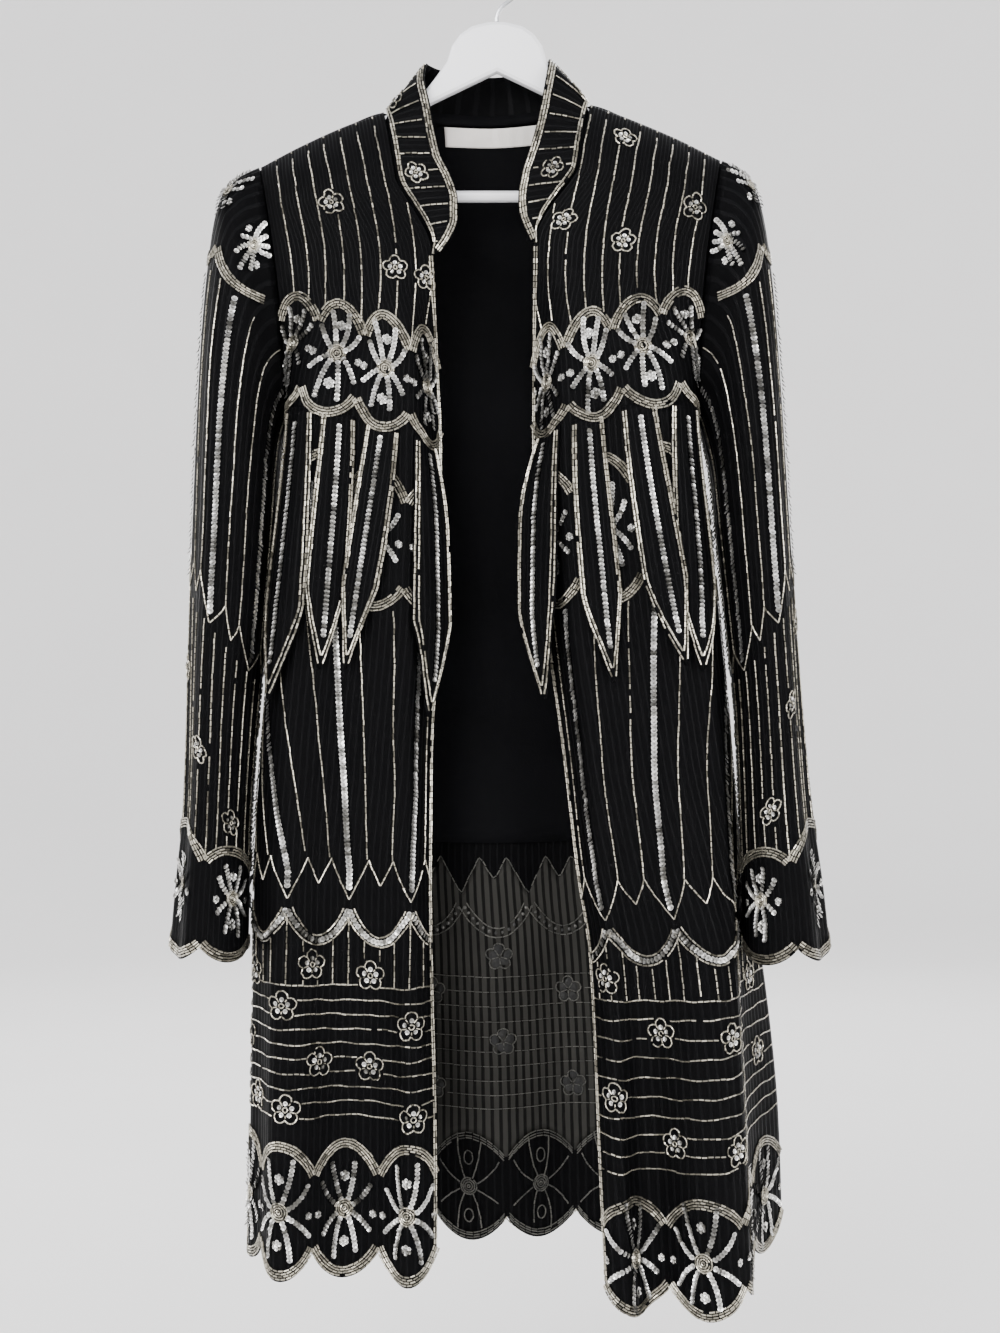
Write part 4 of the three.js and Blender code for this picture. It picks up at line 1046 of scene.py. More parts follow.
class Ground:
    """A piece of cloth counted in scallop cells across and in millimetres down."""

    def __init__(self, surface, per_cell, wall=CLOTH, hem=2.0):
        self.surface, self.per_cell, self.wall, self.hem = surface, per_cell, wall, hem

    def line(self, cells, drops, lift=0.0):
        """Points on the cloth's outer side and its outward directions."""
        cells, drops = np.broadcast_arrays(np.asarray(cells, float), np.asarray(drops, float))
        u = cells * self.per_cell
        out = self.surface.normal(u, drops)
        return self.surface.at(u, drops) + out * (self.wall / 2 + np.asarray(lift)[..., None]), out

    def local(self, cell, drop, x, y, lift=0.0):
        """A line given in millimetres across and up from a place, as far as the cloth reaches."""
        u, drops = self.surface.near(cell * self.per_cell, drop, x, y)
        inside = (drops > self.hem) & (drops < self.surface.down[-1] - self.hem)
        if not self.surface.closed:
            ends = self.surface.across[[0, -1]]
            inside &= np.abs(u - ends.mean()) < 0.494 * (ends[1] - ends[0])
        out = self.surface.normal(u[inside], drops[inside])
        return self.surface.at(u[inside], drops[inside]) + out * (self.wall / 2 + lift), out


def along_line(points):
    return np.concatenate([[0], np.cumsum(np.linalg.norm(np.diff(points, axis=0), axis=-1))])


def read_line(table, lengths, at):
    return np.stack([np.interp(at, lengths, table[:, axis]) for axis in range(3)], axis=-1)


class Beadwork:
    """Bugles and sequins gathered row by row, and then made into one mesh of each."""

    def __init__(self, name, seed, bugle_finish="bugle_glass", sequin_finish="sequin_foil"):
        self.name, self.dice = name, np.random.default_rng(seed)
        self.finishes = bugle_finish, sequin_finish
        self.sizes = bpy.context.scene.jacket_sizes
        self.bugles, self.sequins = [], []

    def places(self, points, pitch):
        lengths = along_line(points)
        count = max(1, round(lengths[-1] / pitch))
        return lengths, lengths[-1] / count * (np.arange(count) + 0.5)

    def row(self, line, width=FINE, shift=0.0, length=None, wander=0.0, shade=1.0):
        """Bugles end to end along a line. shift moves the row sideways over the cloth."""
        points, out = line
        if len(points) < 3:
            return
        length = length or self.sizes.bugle_length / MM
        side = unit(np.cross(out, unit(np.gradient(points, axis=0))))
        if wander:
            run, start = along_line(points), self.dice.uniform(0, 6, 2)
            waves = np.sin(run / 43 + start[0]) + 0.5 * np.sin(run / 17 + start[1])
            shift = shift + wander * waves[:, None]
        points = points + side * shift
        lengths, at = self.places(points, length * self.sizes.bugle_pitch / self.sizes.bugle_length)
        half = length / 2 * (1 + self.dice.uniform(-0.1, 0.06, len(at)))
        out = unit(read_line(out, lengths, at))
        sway = read_line(side, lengths, at) * self.dice.normal(0, 0.14, len(at))[:, None]
        rise = out * (width / 2 + 0.05) + sway
        ends = [read_line(points, lengths, at + way * half) + rise for way in (-1, 1)]
        kept = self.dice.random(len(at)) > MISSING
        half_widths, shades = np.full(len(at), width / 2), np.full(len(at), shade)
        self.bugles.append([v[kept] for v in (*ends, out, half_widths, shades)])

    def border(self, line, rows, gap=None):
        """Rows of bugles side by side, as many on each side of a line."""
        gap = gap or self.sizes.row_gap / MM
        for k in range(rows):
            self.row(line, BOLD, (k - (rows - 1) / 2) * gap, shade=0.72)

    def scales(self, line, width=None, pitch=None):
        """Sequins that lie over each other along a line, each tipped on the one before."""
        points, out = line
        if len(points) < 3:
            return
        width = width or self.sizes.sequin_width / MM
        lengths, at = self.places(points, pitch or self.sizes.sequin_pitch / MM)
        out = unit(read_line(out, lengths, at))
        ahead = unit(read_line(unit(np.gradient(points, axis=0)), lengths, at))
        tip = np.radians(22 + self.dice.normal(0, 8, len(at)))[:, None]
        centre = read_line(points, lengths, at) + out * (0.55 + width / 2 * np.sin(tip))
        facing = out * np.cos(tip) - ahead * np.sin(tip)
        self.sequins.append([centre, facing, ahead, np.full(len(at), width / 2), np.ones(len(at))])

    def discs(self, line, width, lift=0.6):
        """Single sequins that lie flat."""
        points, out = line
        if not len(points):
            return
        lean = unit(out + self.dice.normal(0, 0.13, out.shape))
        self.sequins.append([points + out * lift, lean, unit(np.cross(lean, (0.0, 0.2, 1.0))),
                             np.full(len(points), width / 2), np.ones(len(points))])

    def finish(self):
        """Makes the meshes. Each bead's tone drifts over the cloth, as painted light and shade, and differs
        from its neighbours', partly as the beads' own colour and partly as painted glints.
        """
        for kind, rows, finish, slot in (("bugles", self.bugles, self.finishes[0], "beads"),
                                         ("sequins", self.sequins, self.finishes[1], "sequins")):
            if not rows:
                continue
            *parts, shade = [np.concatenate(column) for column in zip(*rows)]
            points, faces = (bugle_bodies if kind == "bugles" else sequin_bodies)(*parts)
            x, y, z = parts[0].T
            # A slow wave over the cloth that paints light and shade on the beads
            painted_light_drift = np.sin(x / 31 + z / 57) * np.sin(x / 73 - z / 23 + y / 41)
            reach = 0.24 if kind == "bugles" else 0.4
            tone = shade * np.clip(0.5 + reach * painted_light_drift + self.dice.normal(0, 0.27, len(x)), 0, 1)
            tone = np.repeat(tone, len(points) // len(x))
            # The middle of each sequin's cup is made darker: its hole, and painted shade in the hollow of the
            # cup
            if kind == "sequins":
                tone[SEQUIN_SIDES::SEQUIN_SIDES + 2] *= 0.1
            mesh_piece(f"{kind}_{self.name}", points, faces, finish, smooth_shade=False, tone=tone)


def corner_rings(first, second, radius, sides):
    """Points round each body, from the first direction towards the second."""
    turns = (np.arange(sides) * 2 * np.pi / sides)[:, None]
    return radius[:, None, None] * (np.cos(turns) * first[:, None] + np.sin(turns) * second[:, None])


def repeat_faces(pattern, bodies, corners):
    """The faces of one body, counted on for each of the others."""
    faces = np.asarray(pattern)[None] + corners * np.arange(bodies)[:, None, None]
    return faces.reshape(-1, len(pattern[0]))


def bugle_bodies(start, end, out, radius):
    """Short closed tubes from their starts to their ends."""
    axis = unit(end - start)
    side = unit(np.cross(axis, out))
    ring = corner_rings(np.cross(side, axis), side, radius, BUGLE_SIDES)
    points = np.concatenate([start[:, None] + ring, end[:, None] + ring], axis=1).reshape(-1, 3)
    n = BUGLE_SIDES
    walls = [(k, (k + 1) % n, n + (k + 1) % n, n + k) for k in range(n)]
    caps = [tuple(reversed(range(n))), tuple(range(n, 2 * n))]
    return points, [repeat_faces(walls, len(start), 2 * n), repeat_faces(caps, len(start), 2 * n)]


def sequin_bodies(centre, out, ahead, radius):
    """Thin closed cups."""
    side = unit(np.cross(out, ahead))
    ring = corner_rings(np.cross(side, out), side, radius, SEQUIN_SIDES) + 0.3 * out[:, None]
    hollow, foot = centre - 0.45 * out, centre - 0.7 * out
    points = np.concatenate([centre[:, None] + ring, hollow[:, None], foot[:, None]], axis=1).reshape(-1, 3)
    n = SEQUIN_SIDES
    cup = [(k, (k + 1) % n, n) for k in range(n)] + [((k + 1) % n, k, n + 1) for k in range(n)]
    return points, [repeat_faces(cup, len(centre), n + 2)]


def circle(radius, steps=20, petals=0, depth=0.0):
    """Places round a circle, or round the outline of a flower."""
    a = np.linspace(0, 2 * np.pi, steps)
    r = radius * (1 - depth + depth * np.abs(np.cos(petals * a / 2)) ** 0.7) if petals else radius
    return r * np.sin(a), r * np.cos(a)


def rosette(work, ground, cell, drop, x, y, width=3.5):
    """Six sequins round a seventh."""
    across, up = circle(0.82 * width, 7)
    work.discs(ground.local(cell, drop, x + across[:-1], y + up[:-1]), width)
    work.discs(ground.local(cell, drop, np.array([x]), np.array([y])), width, lift=1.4)


# The curved arms of a star, on each side of its middle: the angle from upward at which an arm
# starts and ends, and its reach
STAR_ARMS = ((24, 14, 43), (68, 46, 33), (112, 128, 30), (152, 165, 39))


def star(work, ground, cell, drop, size=1.0, across=1.0, threads=False):
    """A star of eight curved arms of sequins round a knot of beads, with rosettes between its arms.
    Threads alone show where it is seen through the cloth."""
    for start, end, reach in STAR_ARMS:
        for hand in (-1, 1):
            t = np.linspace(0, 1, 14)
            lean = work.dice.normal(0, 3)
            r = mix(7.5, reach * (1 + work.dice.normal(0, 0.05)), t) * size
            a = hand * np.radians(mix(start, end + lean, t ** 0.8))
            arm = ground.local(cell, drop, across * r * np.sin(a), r * np.cos(a))
            if threads:
                work.row(arm, 1.3, length=3.5)
            else:
                work.scales(arm, width=4.7, pitch=3.3)
    for radius in (1.6, 3.6, 5.6, 7.4):
        work.row(ground.local(cell, drop, *circle(radius * size ** 0.5)), 1.3, length=2.2)
    if threads:
        for y in (25, -26):
            work.row(ground.local(cell, drop, 0.7 * circle(6)[0], y + circle(6)[1]), 1.2, length=2.4)
        return
    if size > 0.7:
        for y in (27, -27):
            rosette(work, ground, cell, drop, 0, y * size)
    for x in (-26, 26):
        rosette(work, ground, cell, drop, x * across * size, -3 * size, width=2.6)


def petal_spokes(reaches):
    """Short lines out from a flower's middle, one in each of its five petals."""
    return [(reaches * np.sin(a), reaches * np.cos(a)) for a in np.radians(72 * np.arange(5) + 36)]


def flower(work, ground, cell, drop, radius=12.5):
    """A flower of five looped petals, with sequins close round its middle."""
    work.row(ground.local(cell, drop, *circle(radius, 71, petals=5, depth=0.36)), 1.2, length=1.9)
    across, up = circle(0.42 * radius, 6)
    work.discs(ground.local(cell, drop, across[:-1], up[:-1]), 0.33 * radius)
    across, up = circle(0.17 * radius, 9)
    work.row(ground.local(cell, drop, across, up, lift=0.8), 1.1, length=1.6)
    for spoke in petal_spokes(np.array([0.3, 0.45, 0.6]) * radius):
        work.row(ground.local(cell, drop, *spoke), 1.1, length=2.2)


CELL_STEPS = 28


def band_top(key, band, c):
    """The drop of a band's upper border, which dips towards the open edge of a front."""
    dip = 0 if key == "back" else band["dip"] * (1 - c / CELLS[key])
    return scalloped(c, band["apex"], band["top_cusp"]) + dip


def over_tails(key, drops):
    """How far a border rises to pass over the tails' upper ends."""
    rise = TAIL_ROOT_OFF[key] + TAIL_WALL / 2 - CLOTH / 2 + 0.2
    return rise * np.clip((drops - TAIL_ROOT + 9) / 6, 0, 1)


# Drops of the patterns, top to bottom
CHEST_BAND = {"apex": 190, "top_cusp": 221, "star": 243, "cusp": 274, "low": 295, "dip": 8}
SECOND_BAND = {"apex": 327, "top_cusp": 353, "star": 381, "cusp": 415, "low": 435, "dip": 0}
HEM_BAND = {"apex": 876, "top_cusp": 904, "star": 930, "dip": 0}
BANDS = {"chest": CHEST_BAND, "second": SECOND_BAND, "hem": HEM_BAND}
COLUMNS = {"top": 437, "fork": 650, "wide_point": 684, "narrow_point": 671}
COLUMN_EDGE = 0.2  # where in its cell a column's line runs, from either side
COLUMN_SPREAD = {"right": 0.42, "left": 0.42, "back": 0}  # how much wider the columns stand at their top
RIBBON = {"peak": 690, "low": 718, "half": 3.9}
STUBS = {"gap": 13.5, "end": 745}
HOOPS = {"first": 745, "last": 853, "count": 10}
PATTERN_RISE = {"right": 10, "left": 0, "back": 10}  # how much higher the skirt's pattern sits
LINE_GAP = 15.0  # between the yoke's lines
SMALL_FLOWER = 10.5  # radius of the yoke's and the sleeves' flowers
FLOWER_ROOM = 13  # from a hem flower's middle to the lines that stop at it
SEEDS = {"right": 11, "left": 23, "back": 37}

# Flowers by cell and drop
YOKE_FLOWERS = {
    "right": ((2.05, 73), (1.0, 143), (0.24, 150)),
    "left": ((1.15, 28), (0.52, 108), (2.02, 121), (3.4, 72)),
    "back": ((1.6, 90), (2.9, 130), (4.0, 70), (5.2, 125), (6.3, 85), (4.1, 150)),
}
HEM_FLOWERS = {
    "right": ((2.1, 728), (1.15, 736), (3.3, 738), (2.55, 762), (0.46, 776), (1.95, 808), (1.15, 812),
              (3.5, 792), (2.45, 846), (0.42, 852), (3.2, 842)),
    "left": ((0.35, 730), (2.6, 733), (3.4, 745), (2.05, 770), (1.1, 766), (2.65, 806), (0.35, 804),
             (3.5, 802), (2.0, 841), (1.2, 834)),
    "back": tuple((k, drop) for k in range(1, 8) for drop in ((728, 797) if k % 2 == 0 else (758, 836))),
}


def ground_of(key):
    return Ground(PANELS[key], 1 / CELLS[key])


def clear_of(points, spots, reach):
    """Splits a line where it would run through a flower."""
    keep = np.ones(len(points[0]), bool)
    for spot in spots:
        keep &= np.linalg.norm(points[0] - spot, axis=-1) > reach
    edges = np.flatnonzero(np.diff(np.concatenate([[0], keep.astype(int), [0]])))
    return [(points[0][a:b], points[1][a:b]) for a, b in zip(edges[::2], edges[1::2]) if b - a > 2]


def flower_spots(ground, flowers):
    return [ground.line(c, drop)[0] for c, drop in flowers]


def yoke_lines(work, key):
    """Lines down from the shoulder to the chest band, an even way apart."""
    ground, surface, cells = ground_of(key), PANELS[key], CELLS[key]
    spots = flower_spots(ground, YOKE_FLOWERS[key])
    drops = np.arange(4.0, CHEST_BAND["top_cusp"], 2.0)
    widths = surface.width(drops)
    count = int(widths.max() / LINE_GAP) + 1
    middle = key == "back"
    for k in range(1, count):
        u = 0.5 + (k - count / 2) * LINE_GAP / widths if middle else 1 - k * LINE_GAP / widths
        c = u * cells
        shown = (u > 0.012) & (u < 0.988) & (drops < band_top(key, CHEST_BAND, c) - 4.5)
        if middle:
            shown &= (drops > 14) | (np.abs(u - 0.5) > 0.19)
        if shown.sum() < 6:
            continue
        first = np.flatnonzero(shown)[0]
        if drops[first] < 6:
            work.row(ground.line(c[first:first + 4], drops[first:first + 4] - 2))
            shown[:first + 6] = False
        line = ground.line(c[shown], drops[shown])
        for stretch in clear_of(line, spots, SMALL_FLOWER):
            work.row(stretch, wander=0.5)
    for c, drop in YOKE_FLOWERS[key]:
        flower(work, ground, c, drop, SMALL_FLOWER)


def star_band(work, key, band):
    ground, cells = ground_of(key), CELLS[key]
    width = PANELS[key].width(band["star"]) / cells
    for cell in range(cells):
        c = cell + np.linspace(0.02, 0.98, CELL_STEPS)
        work.border(ground.line(c, band_top(key, band, c)), 4)
        if "low" in band:
            low = scalloped(c, band["low"], band["cusp"])
            work.border(ground.line(c, low, over_tails(key, low) if band is CHEST_BAND else 0.0), 4)
        shift = (band_top(key, band, cell + 0.5) - band["apex"]) / 2
        star(work, ground, cell + 0.5, band["star"] + shift, 1.0 if band is HEM_BAND else 0.92,
             min(1.3, max(0.8, width / 62)))


def hem_border(work, key):
    """Four rows along the scalloped hem."""
    for cell in range(CELLS[key]):
        c = cell + np.linspace(0.02, 0.98, CELL_STEPS)
        work.border(ground_of(key).line(c, scalloped(c, HEM_DROP - 5.4, HEM_DROP - 5.4 - SCALLOP_RISE)), 4)


def column_run(key, c, drops):
    """A skirt line, which hangs straighter than the flare of its cells and runs out at the side seam."""
    up = np.clip((COLUMNS["fork"] - drops) / (COLUMNS["fork"] - COLUMNS["top"]), 0, 1)
    cells = c * (1 + COLUMN_SPREAD[key] * up)
    inside = cells < CELLS[key] - 0.02
    return ground_of(key).line(cells[inside], drops[inside])


def column_lines(work, key):
    """Wide and narrow columns down the skirt that end in points, with sequins down the wide ones."""
    ground, rise = ground_of(key), PATTERN_RISE[key]
    fork = COLUMNS["fork"] - rise
    down = np.linspace(COLUMNS["top"], fork, 60)
    t = np.linspace(0, 1, 12)
    for cell in range(CELLS[key]):
        for start, narrow in ((cell + COLUMN_EDGE, cell), (cell + 1 - COLUMN_EDGE, cell + 1)):
            work.row(column_run(key, start, down), wander=0.5)
            for goal, point in ((cell + 0.5, COLUMNS["wide_point"]), (narrow, COLUMNS["narrow_point"])):
                c = mix(start, goal, t ** 1.1)
                inside = (c > 0.02) & (c < CELLS[key] - 0.02)
                work.row(ground.line(c[inside], mix(fork, point - rise, t)[inside]))
        strip = np.linspace(COLUMNS["top"] + 3, COLUMNS["wide_point"] - rise - 9, 60)
        work.scales(column_run(key, cell + 0.5, strip))


def ribbon_drop(c, rise):
    peak = RIBBON["peak"] - rise
    return mix(RIBBON["low"] - rise, peak, 1 - np.abs(np.cos(np.pi * c)) ** 0.75)


def ribbon(work, key):
    """A pointed scalloped ribbon: sequins between two lines of bugles."""
    ground, rise = ground_of(key), PATTERN_RISE[key]
    for swag in range(CELLS[key] + 1):
        c = np.unique(np.clip(swag + np.linspace(-0.49, 0.49, 32), 0.03, CELLS[key] - 0.03))
        drops = ribbon_drop(c, rise)
        for shift in (-1, 1):
            work.row(ground.line(c, drops), BOLD, shift * RIBBON["half"])
        work.scales(ground.line(c, drops), width=5.0, pitch=3.6)


def stub_lines(work, key, spots):
    """Short lines from the ribbon down to the first hoop."""
    ground, surface, rise = ground_of(key), PANELS[key], PATTERN_RISE[key]
    width = surface.width(STUBS["end"])
    count = int(width / STUBS["gap"])
    for k in range(1, count):
        c = k / count * CELLS[key]
        top = ribbon_drop(np.array(c), rise) + RIBBON["half"] + 2
        for stretch in clear_of(ground.line(c, np.linspace(top, STUBS["end"], 16)), spots, FLOWER_ROOM):
            work.row(stretch)


def hoop_levels():
    return [mix(HOOPS["first"], HOOPS["last"], k / (HOOPS["count"] - 1)) for k in range(HOOPS["count"])]


def hoops(work, key, spots):
    """Lines across the skirt, each a little uneven, that stop at the flowers."""
    ground, cells = ground_of(key), CELLS[key]
    c = np.linspace(0.05, cells - 0.05, 60 * cells)
    for level in hoop_levels():
        start = work.dice.uniform(0, 6)
        wave = 0.5 * np.sin(c * 5.3 + start) + 0.4 * np.sin(c * 13.1 + 2 * start)
        for stretch in clear_of(ground.line(c, level + wave), spots, FLOWER_ROOM):
            work.row(stretch)


def front_edge(work, key):
    """Two rows down the open edge of a front."""
    ground, surface = ground_of(key), PANELS[key]
    drops = np.linspace(131, HEM_DROP - SCALLOP_RISE - 4, 420)
    for inset in (1.6, 3.9):
        work.row(ground.line(inset / surface.width(drops) * CELLS[key], drops), BOLD)


class JACKET_OT_yoke(PieceOperator):
    """Sew the lines and the flowers of the shoulders"""
    bl_idname = "jacket.yoke"
    bl_label = "Yoke beads"

    def execute(self, context):
        for key in PANELS:
            work = Beadwork(f"yoke_{key}", SEEDS[key])
            yoke_lines(work, key)
            work.finish()
        return {"FINISHED"}


class JACKET_OT_bands(PieceOperator):
    """Sew the scalloped bands of stars at the chest, under the tails and at the hem"""
    bl_idname = "jacket.bands"
    bl_label = "Bands of stars"

    def execute(self, context):
        for key in PANELS:
            for k, (name, band) in enumerate(BANDS.items(), 1):
                work = Beadwork(f"{name}_band_{key}", SEEDS[key] + 100 * k)
                star_band(work, key, band)
                if name == "hem":
                    hem_border(work, key)
                work.finish()
        return {"FINISHED"}


class JACKET_OT_skirt(PieceOperator):
    """Sew the skirt's columns, its ribbon, its hoops and its flowers"""
    bl_idname = "jacket.skirt"
    bl_label = "Skirt beads"

    def execute(self, context):
        for key in PANELS:
            upper = Beadwork(f"columns_{key}", SEEDS[key] + 500)
            column_lines(upper, key)
            ribbon(upper, key)
            if key != "back":
                front_edge(upper, key)
            upper.finish()
            lower = Beadwork(f"hoops_{key}", SEEDS[key] + 600)
            spots = flower_spots(ground_of(key), HEM_FLOWERS[key])
            stub_lines(lower, key, spots)
            hoops(lower, key, spots)
            for c, drop in HEM_FLOWERS[key]:
                flower(lower, ground_of(key), c, drop)
            lower.finish()
        return {"FINISHED"}


# Sleeves: turns in degrees round the sleeve, and lengths along it
CAP_CELL = 52  # degrees across one star of the cap
CAP_START = -108
CAP_END = 106  # degrees from the sleeve's top to where the cap's border meets the armhole
CAP_STARS = ((-82, 18), (-30, 30), (22, 27), (74, 16))
SLEEVE_COLUMNS = 6
SLEEVE_FORK = 318
SLEEVE_POINTS = {"wide": 350, "narrow": 342}
SLEEVE_LINES = 22
CUFF_BAND = {"apex": 534, "top_cusp": 560, "star": 592}
SLEEVE_FLOWERS = {
    "right": ((72, 462), (22, 415), (128, 505), (250, 430), (300, 498), (190, 400)),
    "left": ((68, 428), (112, 498), (24, 378), (240, 440), (296, 492), (186, 410)),
}


def cap_level(turn):
    """Where the cap's border runs along the sleeve: further down on the outer side."""
    return 97 - 72 * (np.asarray(turn) / 104) ** 2


def sleeve_cap(work, ground):
    """Four scallops of border round the top of the sleeve, with a star in each."""
    for k in range(4):
        turn = CAP_START + CAP_CELL * (k + np.linspace(0.02, 0.98, 20))
        share = (turn - CAP_START) / CAP_CELL
        level = cap_level(turn) - scalloped(share, 0, 18)
        shown = level > 2
        work.border(ground.line(turn[shown], level[shown]), 4)
    for turn, along in CAP_STARS:
        star(work, ground, turn, along, size=0.62)


def below_cap(turn, gap):
    """Where a line starts, below the cap's border or below the armhole."""
    signed = (turn + 180) % 360 - 180
    return cap_level(signed) + gap if abs(signed) < CAP_END else gap - 2


def sleeve_columns(work, ground):
    """Columns from the cap's border or the armhole down to a zigzag at the elbow."""
    step = 360 / SLEEVE_COLUMNS
    t = np.linspace(0, 1, 10)
    for k in range(SLEEVE_COLUMNS):
        middle = 22 + k * step
        for hand in (-1, 1):
            turn = middle + hand * 0.33 * step
            work.row(ground.line(turn, np.linspace(below_cap(turn, 6), SLEEVE_FORK, 70)), wander=0.5)
            for goal, point in ((middle, "wide"), (middle + hand * step / 2, "narrow")):
                work.row(ground.line(mix(turn, goal, t ** 1.2), mix(SLEEVE_FORK, SLEEVE_POINTS[point], t)))
        work.scales(ground.line(middle, np.linspace(below_cap(middle, 10), SLEEVE_POINTS["wide"] - 9, 70)))


def cuff_level(turn):
    return scalloped(turn / 360 * CELLS["cuff"], CUFF_BAND["apex"], CUFF_BAND["top_cusp"])


def lower_sleeve(work, ground, side):
    """Lines from the zigzag down to the cuff's border, with flowers between them."""
    spots = flower_spots(ground, SLEEVE_FLOWERS[side])
    for k in range(SLEEVE_LINES):
        turn = 360 * (k + 0.5) / SLEEVE_LINES
        line = ground.line(turn, np.linspace(SLEEVE_POINTS["wide"] + 2, cuff_level(turn) - 4, 60))
        for stretch in clear_of(line, spots, 11):
            work.row(stretch)
    for turn, along in SLEEVE_FLOWERS[side]:
        flower(work, ground, turn, along, SMALL_FLOWER)


def cuff(work, ground):
    """The cuff's two scalloped borders, and a star in each scallop."""
    for cell in range(CELLS["cuff"]):
        turn = 360 / CELLS["cuff"] * (cell + np.linspace(0.02, 0.98, CELL_STEPS))
        work.border(ground.line(turn, cuff_level(turn)), 4)
        hem = SLEEVE_LENGTH - 5.2 - scallop(turn / 360 * CELLS["cuff"], CUFF_RISE)
        work.border(ground.line(turn, hem), 4)
        star(work, ground, 360 / CELLS["cuff"] * (cell + 0.5), CUFF_BAND["star"], size=0.72)


class JACKET_OT_sleeve_beads(PieceOperator):
    """Sew the caps, the columns, the lower lines and the cuffs of the sleeves"""
    bl_idname = "jacket.sleeve_beads"
    bl_label = "Sleeve beads"

    def execute(self, context):
        for side in RIGHT_LEFT:
            ground = Ground(ARMS[side], 1)
            work = Beadwork(f"sleeve_{side}", SEEDS[side] + 700)
            sleeve_cap(work, ground)
            sleeve_columns(work, ground)
            lower_sleeve(work, ground, side)
            cuff(work, ground)
            work.finish()
        return {"FINISHED"}


COLLAR_LINE_GAP = 16.0
COLLAR_FLOWERS = ((4.2, 0.42), (8.1, 0.3), (17.9, 0.5), (13.6, 0.3))


class JACKET_OT_collar_beads(PieceOperator):
    """Sew the collar's rows, its cross lines and its flowers"""
    bl_idname = "jacket.collar_beads"
    bl_label = "Collar beads"

    def execute(self, context):
        ground = Ground(NECK, 1, hem=0.04)
        work = Beadwork("collar", 900)
        stations = np.linspace(0, len(COLLAR) - 1, 220)
        free, seam = ground.line(stations, 1.0), ground.line(stations, 0.0)
        for k in range(3):
            work.row(free, BOLD, 1.4 + 2.2 * k)
        for k in range(2):
            work.row(seam, BOLD, -1.4 - 2.2 * k)
        spots = flower_spots(ground, COLLAR_FLOWERS)
        middle = ground.line(stations, 0.5)[0]
        lengths = along_line(middle)
        for at in np.arange(10.0, lengths[-1] - 8, COLLAR_LINE_GAP):
            station = np.interp(at, lengths, stations)
            tall = float(NECK.read(NECK.fall, station, 0.5))
            line = ground.line(station, np.linspace(4.6 / tall, 1 - 7 / tall, 14))
            for stretch in clear_of(line, spots, 10):
                work.row(stretch)
        for station, share in COLLAR_FLOWERS:
            flower(work, ground, station, share, 9.5)
        work.finish()
        return {"FINISHED"}


def tail_line(key, tail, share, x):
    """A line of a tail, x millimetres from its middle, on its outer side."""
    side = x / tail_half(share)
    middle = tail_middle(key, tail, share, side)
    over = tail_middle(key, tail, share, side + 0.05) - tail_middle(key, tail, share, side - 0.05)
    fall = tail_middle(key, tail, share + 0.004, side) - tail_middle(key, tail, share - 0.004, side)
    out = unit(np.cross(over, fall))
    u, at, _ = tail_places(key, tail, share, side)
    out = out * np.sign((out * PANELS[key].normal(u, at)).sum(axis=-1, keepdims=True))
    return middle + out * TAIL_WALL / 2, out


class JACKET_OT_tail_beads(PieceOperator):
    """Sew two rows down each edge of every tail, and sequins down its middle"""
    bl_idname = "jacket.tail_beads"
    bl_label = "Tail beads"

    def execute(self, context):
        share = np.linspace(0.02, 0.995, 120)
        for key, tails in TAILS.items():
            work = Beadwork(f"tails_{key}", SEEDS[key] + 800)
            for tail in tails:
                for hand in (-1, 1):
                    for inset in (1.1, 3.3):
                        half = tail_half(share) - inset
                        shown = half > 0.2
                        work.row(tail_line(key, tail, share[shown], hand * half[shown]), 1.6)
                middle = share[(share > 0.05) & (share < 0.88)]
                work.scales(tail_line(key, tail, middle, 0 * middle), width=4.8)
            work.finish()
        return {"FINISHED"}


def column_end(c, rise):
    """The drop at which the skirt's columns end in points."""
    cell = np.abs(c % 1 - 0.5)
    edge = 0.5 - COLUMN_EDGE
    wide = mix(COLUMNS["wide_point"], COLUMNS["fork"], cell / edge)
    narrow = mix(COLUMNS["fork"], COLUMNS["narrow_point"], (cell - edge) / COLUMN_EDGE)
    return np.where(cell < edge, wide, narrow) - rise


def lit_cloth(ground):
    """The stretch of the lower back that light comes through, as a skin on its inner side."""
    cells = CELLS["back"]
    c = np.linspace(0.3, cells - 0.3, 25 * cells)
    top = column_end(c, PATTERN_RISE["back"]) + 1
    bottom = HEM_BAND["apex"] + scallop(c, SCALLOP_RISE)
    t = np.linspace(0, 1, 26)[:, None]
    drops = mix(top, bottom, t)
    grid, _ = ground.line(np.broadcast_to(c, drops.shape), drops)
    width = PANELS["back"].width(760.0)
    uv = np.stack([np.broadcast_to(c / cells * width, drops.shape), drops], axis=-1)
    shell_piece("back_panel_lit_cloth", grid, LIT_CLOTH["wall"], "lit_georgette", uv=uv)


LIT_CLOTH = {"inset": 0.5, "wall": 0.3}  # the light skin inside the back, and its own wall
THROUGH_INSET = 3.6  # how far inside the back its beadwork is shown


def through_lines(work, ground):
    """The hoops between the flowers, and the line of the columns' points above them."""
    spots = flower_spots(ground, HEM_FLOWERS["back"])
    c = np.linspace(0.4, CELLS["back"] - 0.4, 320)
    for level in hoop_levels():
        for stretch in clear_of(ground.line(c, np.full(len(c), level)), spots, FLOWER_ROOM):
            work.row(stretch, 0.7, length=6.0)
    work.row(ground.line(c, column_end(c, PATTERN_RISE["back"])), 1.0, length=5.0)


def through_flower(work, shade, ground, cell, drop):
    """A flower's outline and spokes, over the dark round of its sequins."""
    across, up = circle(6.4, 6)
    shade.discs(ground.local(cell, drop, across[:-1], up[:-1]), 9.5, lift=1.2)
    work.row(ground.local(cell, drop, *circle(12, 71, petals=5, depth=0.36)), 1.1, length=2.6)
    for spoke in petal_spokes(np.array([1.0, 4.0, 7.0])):
        work.row(ground.local(cell, drop, *spoke), 1.0, length=2.6)


